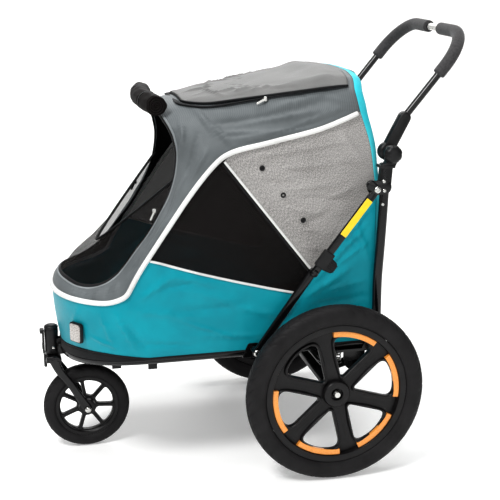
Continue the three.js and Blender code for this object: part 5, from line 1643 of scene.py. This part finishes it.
# %% Bib and its bound edge
def bib_point(across, up):
    """A row at height up: its ends lie on the opening's sides, its middle on a line that rises to the V.
    Between them it passes from a half circle at the bottom to a straight-sided V at the top."""
    across, up = np.broadcast_arrays(np.asarray(across, float), np.asarray(up, float))
    side = spline(RING_SIDE, 0.72 * up)
    middle = spline([(0, -577, 437), (0, -548, 466), (0, -490, 506)], up)
    round_share = np.sqrt(np.clip(1 - across**2, 0, 1))
    v_share = 1 - np.abs(across) ** 1.3
    share = round_share + (v_share - round_share) * up
    edge = opening_edge(np.arccos(across))[..., 2]
    dip = (edge - 468 + 31 * round_share) * np.clip(1 - 1.6 * up, 0, 1) ** 1.5
    return np.stack([across * (side[..., 0] - 3), side[..., 1] + (middle[..., 1] - side[..., 1]) * share + 3,
                     side[..., 2] + (middle[..., 2] - side[..., 2]) * share + 1 + dip], -1)


def both_sides(lines):
    """The same ridges on both sides of the stroller."""
    return lines + [(np.array(start) * FLIP, np.array(end) * FLIP, width, tall)
                    for start, end, width, tall in lines]


def bib():
    """The bib's grid, slack in its middle and with three folds a side, its bound edge and its zips."""
    across, up = np.linspace(-1, 1, 110)[None, :], np.linspace(0, 1, 60)[:, None]
    grid = bib_point(across, up)
    slack = 4.0 * np.sin(np.pi * up) * (1 - across**2)
    folds = creases(grid, both_sides([((150, -440, 500), (60, -545, 466), 9, 3.0),
                                      ((155, -400, 560), (80, -510, 490), 9, 3.0),
                                      ((120, -500, 470), (20, -560, 452), 8, 2.0)]))
    grid = pushed(grid, (folds - slack) * np.clip(np.minimum(up, 1 - np.abs(across)) / 0.1, 0, 1))
    cloth("front_mesh_bib", grid, BIB_MESH, "black_mesh", "front_bib", thickness=0.8)
    trim("bib_bound_edge", evenly(grid[-1], 120), 3.6, BINDING, "black_mesh", 10, squash=0.7)
    edge = np.concatenate([grid[::-1, 0], grid[0][1:], grid[1:, -1]])
    trim("bib_zip_edge", evenly(edge, 200), 2.2, BINDING, "black_mesh", 8)


bib()


# %% Rolled door under the roof's front edge
ROLL_HALF, TIE_X, TIE_RADIUS = 122, 62, 21.4


def rolled_door():
    """A roll of mesh: its radius varies slowly with place and angle and drops at the ties, its line bows back
    by the square of x, and each end shows its turns as a spiral groove."""
    turn = np.linspace(0, 2 * np.pi, 72, endpoint=False)
    x = np.linspace(-ROLL_HALF, ROLL_HALF, 90)[:, None]
    sag = 3.0 * (x / ROLL_HALF) ** 2
    back = -373.0 + 14.0 * (x / ROLL_HALF) ** 2
    radius = (22.0 + 0.8 * np.sin(x / 11.0) * np.sin(3 * turn + x / 25.0) + 0.5 * np.sin(7 * turn + 1.7)
              - 2.6 * np.exp(-((np.abs(x) - TIE_X) / 5.0) ** 2))
    body = np.stack([np.broadcast_to(x, radius.shape), back + radius * np.cos(turn),
                     830 - sag + radius * np.sin(turn)], -1)
    inward = np.linspace(0.97, 0.02, 26)

    def end(which, edge):
        """The roll's end face, drawn in to a point: a wave of the place and the turn makes the spiral."""
        coil = 1.5 * np.cos(2 * np.pi * 4.2 * inward[:, None] + turn[None])
        x_end = edge[:, 0][None] + which * (0.5 + 2.2 * np.sin(np.pi * inward)[:, None] + coil)
        middle = edge.mean(axis=0)
        flat = middle + inward[:, None, None] * (edge[None] - middle)
        flat[..., 0] = x_end
        return flat

    grid = np.concatenate([end(-1, body[0])[::-1], body, end(1, body[-1])])
    roll = surface("rolled_mesh_door", grid, around=True, caps=True)
    finish_piece(roll, "chassis", REAR_MESH, "black_mesh", "rolled_door")
    ties = []
    turn = np.linspace(0, 2 * np.pi, 48)
    section = rounded([(-0.7, -4.5), (0.7, -4.5), (0.7, 4.5), (-0.7, 4.5)], 0.5, 3)
    for place in (-TIE_X, TIE_X):
        path = np.stack([np.full(48, float(place)), -369.4 + TIE_RADIUS * np.cos(turn),
                         829.2 + TIE_RADIUS * np.sin(turn)], -1)
        ties.append(surface("tie", sweep(path, section, (1, 0, 0)), around=True, caps=True))
    folds_flat(roll)
    folds_flat(finish_piece(joined("door_ties", ties), "chassis", BINDING, "black_mesh"))


rolled_door()
print("front mesh made")

# %% [markdown]
# ## Small parts on the cloth
# Ring snaps hold a rolled side blind; a clear reflector sits on each side of the nose; a plain yellow band
# marks the brace as a place that can pinch. They are small, but each catches the light in its own way.


# %% Ring snaps
SNAP_PLACES = [(-145.4, 697.4), (-98.1, 635.5), (-52.1, 576.7)]
SNAP_PROFILE = [(1.8, 204.0), (5.6, 204.0), (6.2, 205.4), (5.7, 207.0), (4.2, 207.8), (2.9, 207.0),
                (2.4, 205.0), (1.8, 204.6)]
for part_side, part_mirror in SIDES:
    rings = [turned("snap", SNAP_PROFILE, place, 28, mirror=part_mirror) for place in SNAP_PLACES]
    snaps = joined(f"ring_snaps_{part_side}", rings)
    folds_flat(finish_piece(snaps, "chassis", NYLON, "black_plastic"))


# %% Reflectors on the nose
def clear_lens():
    """Moulded acrylic over a silvered prism sheet: pale grey, glossy, with fine cells about 2.6 mm across."""
    material, shader = new_material("clear_acrylic_lens", Roughness=0.12, IOR=1.49, Coat_Weight=0.6)
    place = add(material, "ShaderNodeTexCoord")
    cells = add(material, "ShaderNodeTexVoronoi", {"Vector": place.outputs["Object"], "Scale": 380.0})
    ramp = add(material, "ShaderNodeValToRGB", {"Fac": cells.outputs["Distance"]})
    ramp.color_ramp.elements[0].color = linear("#cfc9c4")
    ramp.color_ramp.elements[1].color = linear("#7d7874")
    link(material, ramp.outputs["Color"], shader, "Base Color")
    bump = add(material, "ShaderNodeBump", {"Height": cells.outputs["Distance"], "Strength": 0.5,
                                            "Distance": 0.0008})
    link(material, bump.outputs["Normal"], shader, "Normal")
    return material


REFLECTOR_TURN, REFLECTOR_Z = np.radians(46), 334.0


def nose_pad(name, half_width, half_height, depths, edge, mirror):
    """A rounded block that faces square out of the nose, from one depth to another off the piping's line. Its
    outline shrinks over the last stations, which rounds its front edge."""
    angle = REFLECTOR_TURN
    place = nose_edge(np.array(angle))
    facing = np.array([np.cos(angle) / NOSE_HALF, -np.sin(angle) / NOSE_DEPTH, 0.0])
    facing /= np.linalg.norm(facing)
    middle = np.array([place[0], place[1], REFLECTOR_Z])
    low, high = depths
    stations = np.array([low, high - edge, high - 0.3 * edge, high])
    shrink = np.array([0.0, 0.0, 0.3 * edge, edge])
    outline = rounded([(-half_width, -half_height), (half_width, -half_height), (half_width, half_height),
                       (-half_width, half_height)], 6.0, 6)
    sections = np.stack([shrunk(outline, step) for step in shrink])
    path = middle + stations[:, None] * facing
    return surface(name, sweep(path, sections), around=True, caps=True, mirror=mirror)


LENS = clear_lens()
for part_side, part_mirror in SIDES:
    back = nose_pad(f"reflector_back_{part_side}", 18.5, 22.5, (-1.0, 6.6), 1.6, part_mirror)
    finish_piece(creased(back, 50), "chassis", NYLON, "black_plastic")
    lens = nose_pad(f"reflector_lens_{part_side}", 16.0, 20.0, (6.0, 8.2), 1.0, part_mirror)
    finish_piece(creased(lens, 50), "chassis", LENS, "reflector_lens", f"reflector_{part_side}")
    folds_flat(back)
    folds_flat(lens)
print("reflectors made")


# %% Yellow band on the upper brace
def yellow_vinyl():
    """Self-adhesive vinyl: strong yellow, satin, with a slow waviness where it was smoothed down by hand."""
    material, shader = new_material("yellow_vinyl", Roughness=0.35, IOR=1.5)
    place = rough_skin(material, shader, 9.0, 0.15)
    mottled(material, shader, place, ("#f0cd12", "#f7da2a"), 12)
    return material


YELLOW = yellow_vinyl()
for part_side, part_mirror in SIDES:
    corners = [along_link(*place) for place in ((103, 7.6), (200, 7.6), (200, -7.6), (103, -7.6))]
    band = plate(f"yellow_band_{part_side}", rounded(corners, 1.5, 4), (255.4, 256.5), 0.3, part_mirror)
    finish_piece(creased(band, 50), f"upper_brace_{part_side}", YELLOW, "light_grey_cloth")

# %% [markdown]
# ## Floor
# A stiff board carries a removable cushion. The cushion is a real padded piece: the simulation blows a
# closed skin up with a little air, and the cloth's own stretch decides where it swells. It starts smaller
# than its place, because it grows, and the movement of each point is capped.


# %% Cushion
def floor_outline(margin, rear):
    """Straight sides and a half ellipse in front, anticlockwise from above, a margin inside the cabin."""
    half = NOSE_HALF - margin
    turn = np.linspace(np.pi, 2 * np.pi, 60)
    nose = np.stack([half * np.cos(turn), NOSE_Y + (NOSE_DEPTH - margin - 8) * np.sin(turn)], -1)
    return np.concatenate([[[half, rear], [-half, rear]], nose])


def slab(name, outline, heights, edge):
    """The outline drawn in along a quarter-circle at both faces, stacked from the lower height up."""
    turn = np.linspace(0, np.pi / 2, 5)
    rise, inward = edge * (1 - np.sin(turn))[::-1], edge * (1 - np.cos(turn))
    z = np.concatenate([heights[0] + rise, (heights[1] - rise)[::-1]])
    inward = np.concatenate([inward[::-1], inward])
    loops = np.stack([shrunk(outline, step) for step in inward])
    grid = np.concatenate([loops, np.broadcast_to(z[:, None, None], loops.shape[:2] + (1,))], -1)
    return surface(name, grid, around=True, caps=True)


def blown_up(piece, pressure, cap_mm, voxel_mm=6.0):
    """Voxel skin, cloth with air pressure for 20 frames, then each point's movement limited to the cap."""
    skin = piece.modifiers.new("skin", "REMESH")
    skin.mode = "VOXEL"
    skin.voxel_size = voxel_mm * MM
    bpy.context.view_layer.objects.active = piece
    bpy.ops.object.select_all(action="DESELECT")
    piece.select_set(True)
    bpy.ops.object.modifier_apply(modifier=skin.name)
    count = len(piece.data.vertices)
    start = np.empty(count * 3, np.float32)
    piece.data.vertices.foreach_get("co", start)
    air = piece.modifiers.new("air", "CLOTH")
    air.settings.use_pressure = True
    air.settings.uniform_pressure_force = pressure
    air.settings.effector_weights.gravity = 0.0
    air.settings.quality = 5
    air.collision_settings.use_collision = False
    for frame_number in range(1, 21):
        bpy.context.scene.frame_set(frame_number)
    shape = piece.evaluated_get(bpy.context.evaluated_depsgraph_get()).data
    end = np.empty(count * 3, np.float32)
    shape.vertices.foreach_get("co", end)
    move = (end - start).reshape(-1, 3)
    far = np.linalg.norm(move, axis=1, keepdims=True)
    move *= np.minimum(1.0, cap_mm * MM / (far + 1e-9))
    piece.modifiers.remove(air)
    piece.data.vertices.foreach_set("co", (start.reshape(-1, 3) + move).ravel())
    piece.data.update()
    bpy.context.scene.frame_set(1)


BOARD_TOP, QUILT_PITCH = 0.2969, 0.12         # metres


def floor_cushion():
    """A slab blown up, held above the board, and stitched down in rows: a high power of a cosine in y."""
    cushion = slab("padded_floor_cushion", floor_outline(20, 94), (299.0, 314.0), 5.0)
    blown_up(cushion, 4.0, 6.0)
    points = np.empty(len(cushion.data.vertices) * 3, np.float32)
    cushion.data.vertices.foreach_get("co", points)
    points = points.reshape(-1, 3)
    points[:, 2] = np.maximum(points[:, 2], BOARD_TOP)
    quilt = np.abs(np.sin(np.pi * (points[:, 1] + 0.02) / QUILT_PITCH))
    top = points[:, 2] > 0.309
    points[top, 2] -= (0.004 * (1 - quilt) ** 4)[top]
    cushion.data.vertices.foreach_set("co", points.ravel())
    cushion.data.update()
    finish_piece(cushion, "chassis", PAD_GREY, "dark_grey_cloth", "floor_cushion")
    smooth = cushion.modifiers.new("smooth", "SUBSURF")
    smooth.levels = 1
    smooth.render_levels = 1
    board = slab("stiff_floor_board", floor_outline(11, 107), (290.5, 296.4), 1.5)
    finish_piece(creased(board, 50), "chassis", LINING, "stiffener_board", "floor_board")


def padding_cloth():
    """Dark grey cushion cover in Object coordinates, because the blown-up skin has no UV map. Its threads are
    drawn 2 mm wide, coarser than the real 0.5 mm, so that they show."""
    material, shader = new_material("cushion_cover", Roughness=0.85, Sheen_Weight=0.3)
    place = add(material, "ShaderNodeTexCoord")
    settings = {"Vector": place.outputs["Object"], "Scale": 157.0, "Distortion": 0.5}
    threads = [add(material, "ShaderNodeTexWave", settings, wave_type="BANDS", bands_direction=direction)
               for direction in "XY"]
    weave = add(material, "ShaderNodeMath", {0: threads[0].outputs["Fac"], 1: threads[1].outputs["Fac"]},
                operation="MULTIPLY")
    mottled(material, shader, place, ("#2f3335", "#3d4144"), 60)
    bump = add(material, "ShaderNodeBump", {"Height": weave.outputs["Value"], "Strength": 0.4,
                                            "Distance": 0.0005})
    link(material, bump.outputs["Normal"], shader, "Normal")
    return material


PAD_GREY = padding_cloth()
floor_cushion()
print("cushion and board made")


# %% Binding round the tub's lower edge
low_nose = tub_bottom(np.linspace(np.pi, 0, 120))
low_side = evenly([(TUB_HALF, TUBE_BEND, 284), (TUB_HALF, 114, 284)], 50)[1:]
low_edge = np.concatenate([low_side[::-1] * FLIP, low_nose, low_side])
trim("tub_lower_binding", evenly(low_edge, 260), 2.4, BINDING, "black_mesh", 8)

# %% Carried-over parts of the frame
for node_name, node_finish in (("floor_slat_front", NYLON), ("floor_slat_rear", NYLON), ("head_bush", NYLON),
                               ("rear_bracket_left", ENAMEL), ("rear_bracket_right", ENAMEL)):
    for slot_holder in frame["nodes"][node_name].material_slots:
        slot_holder.material = node_finish
print("carried-over parts dressed")

# %% [markdown]
# ## End

# %% End
import json
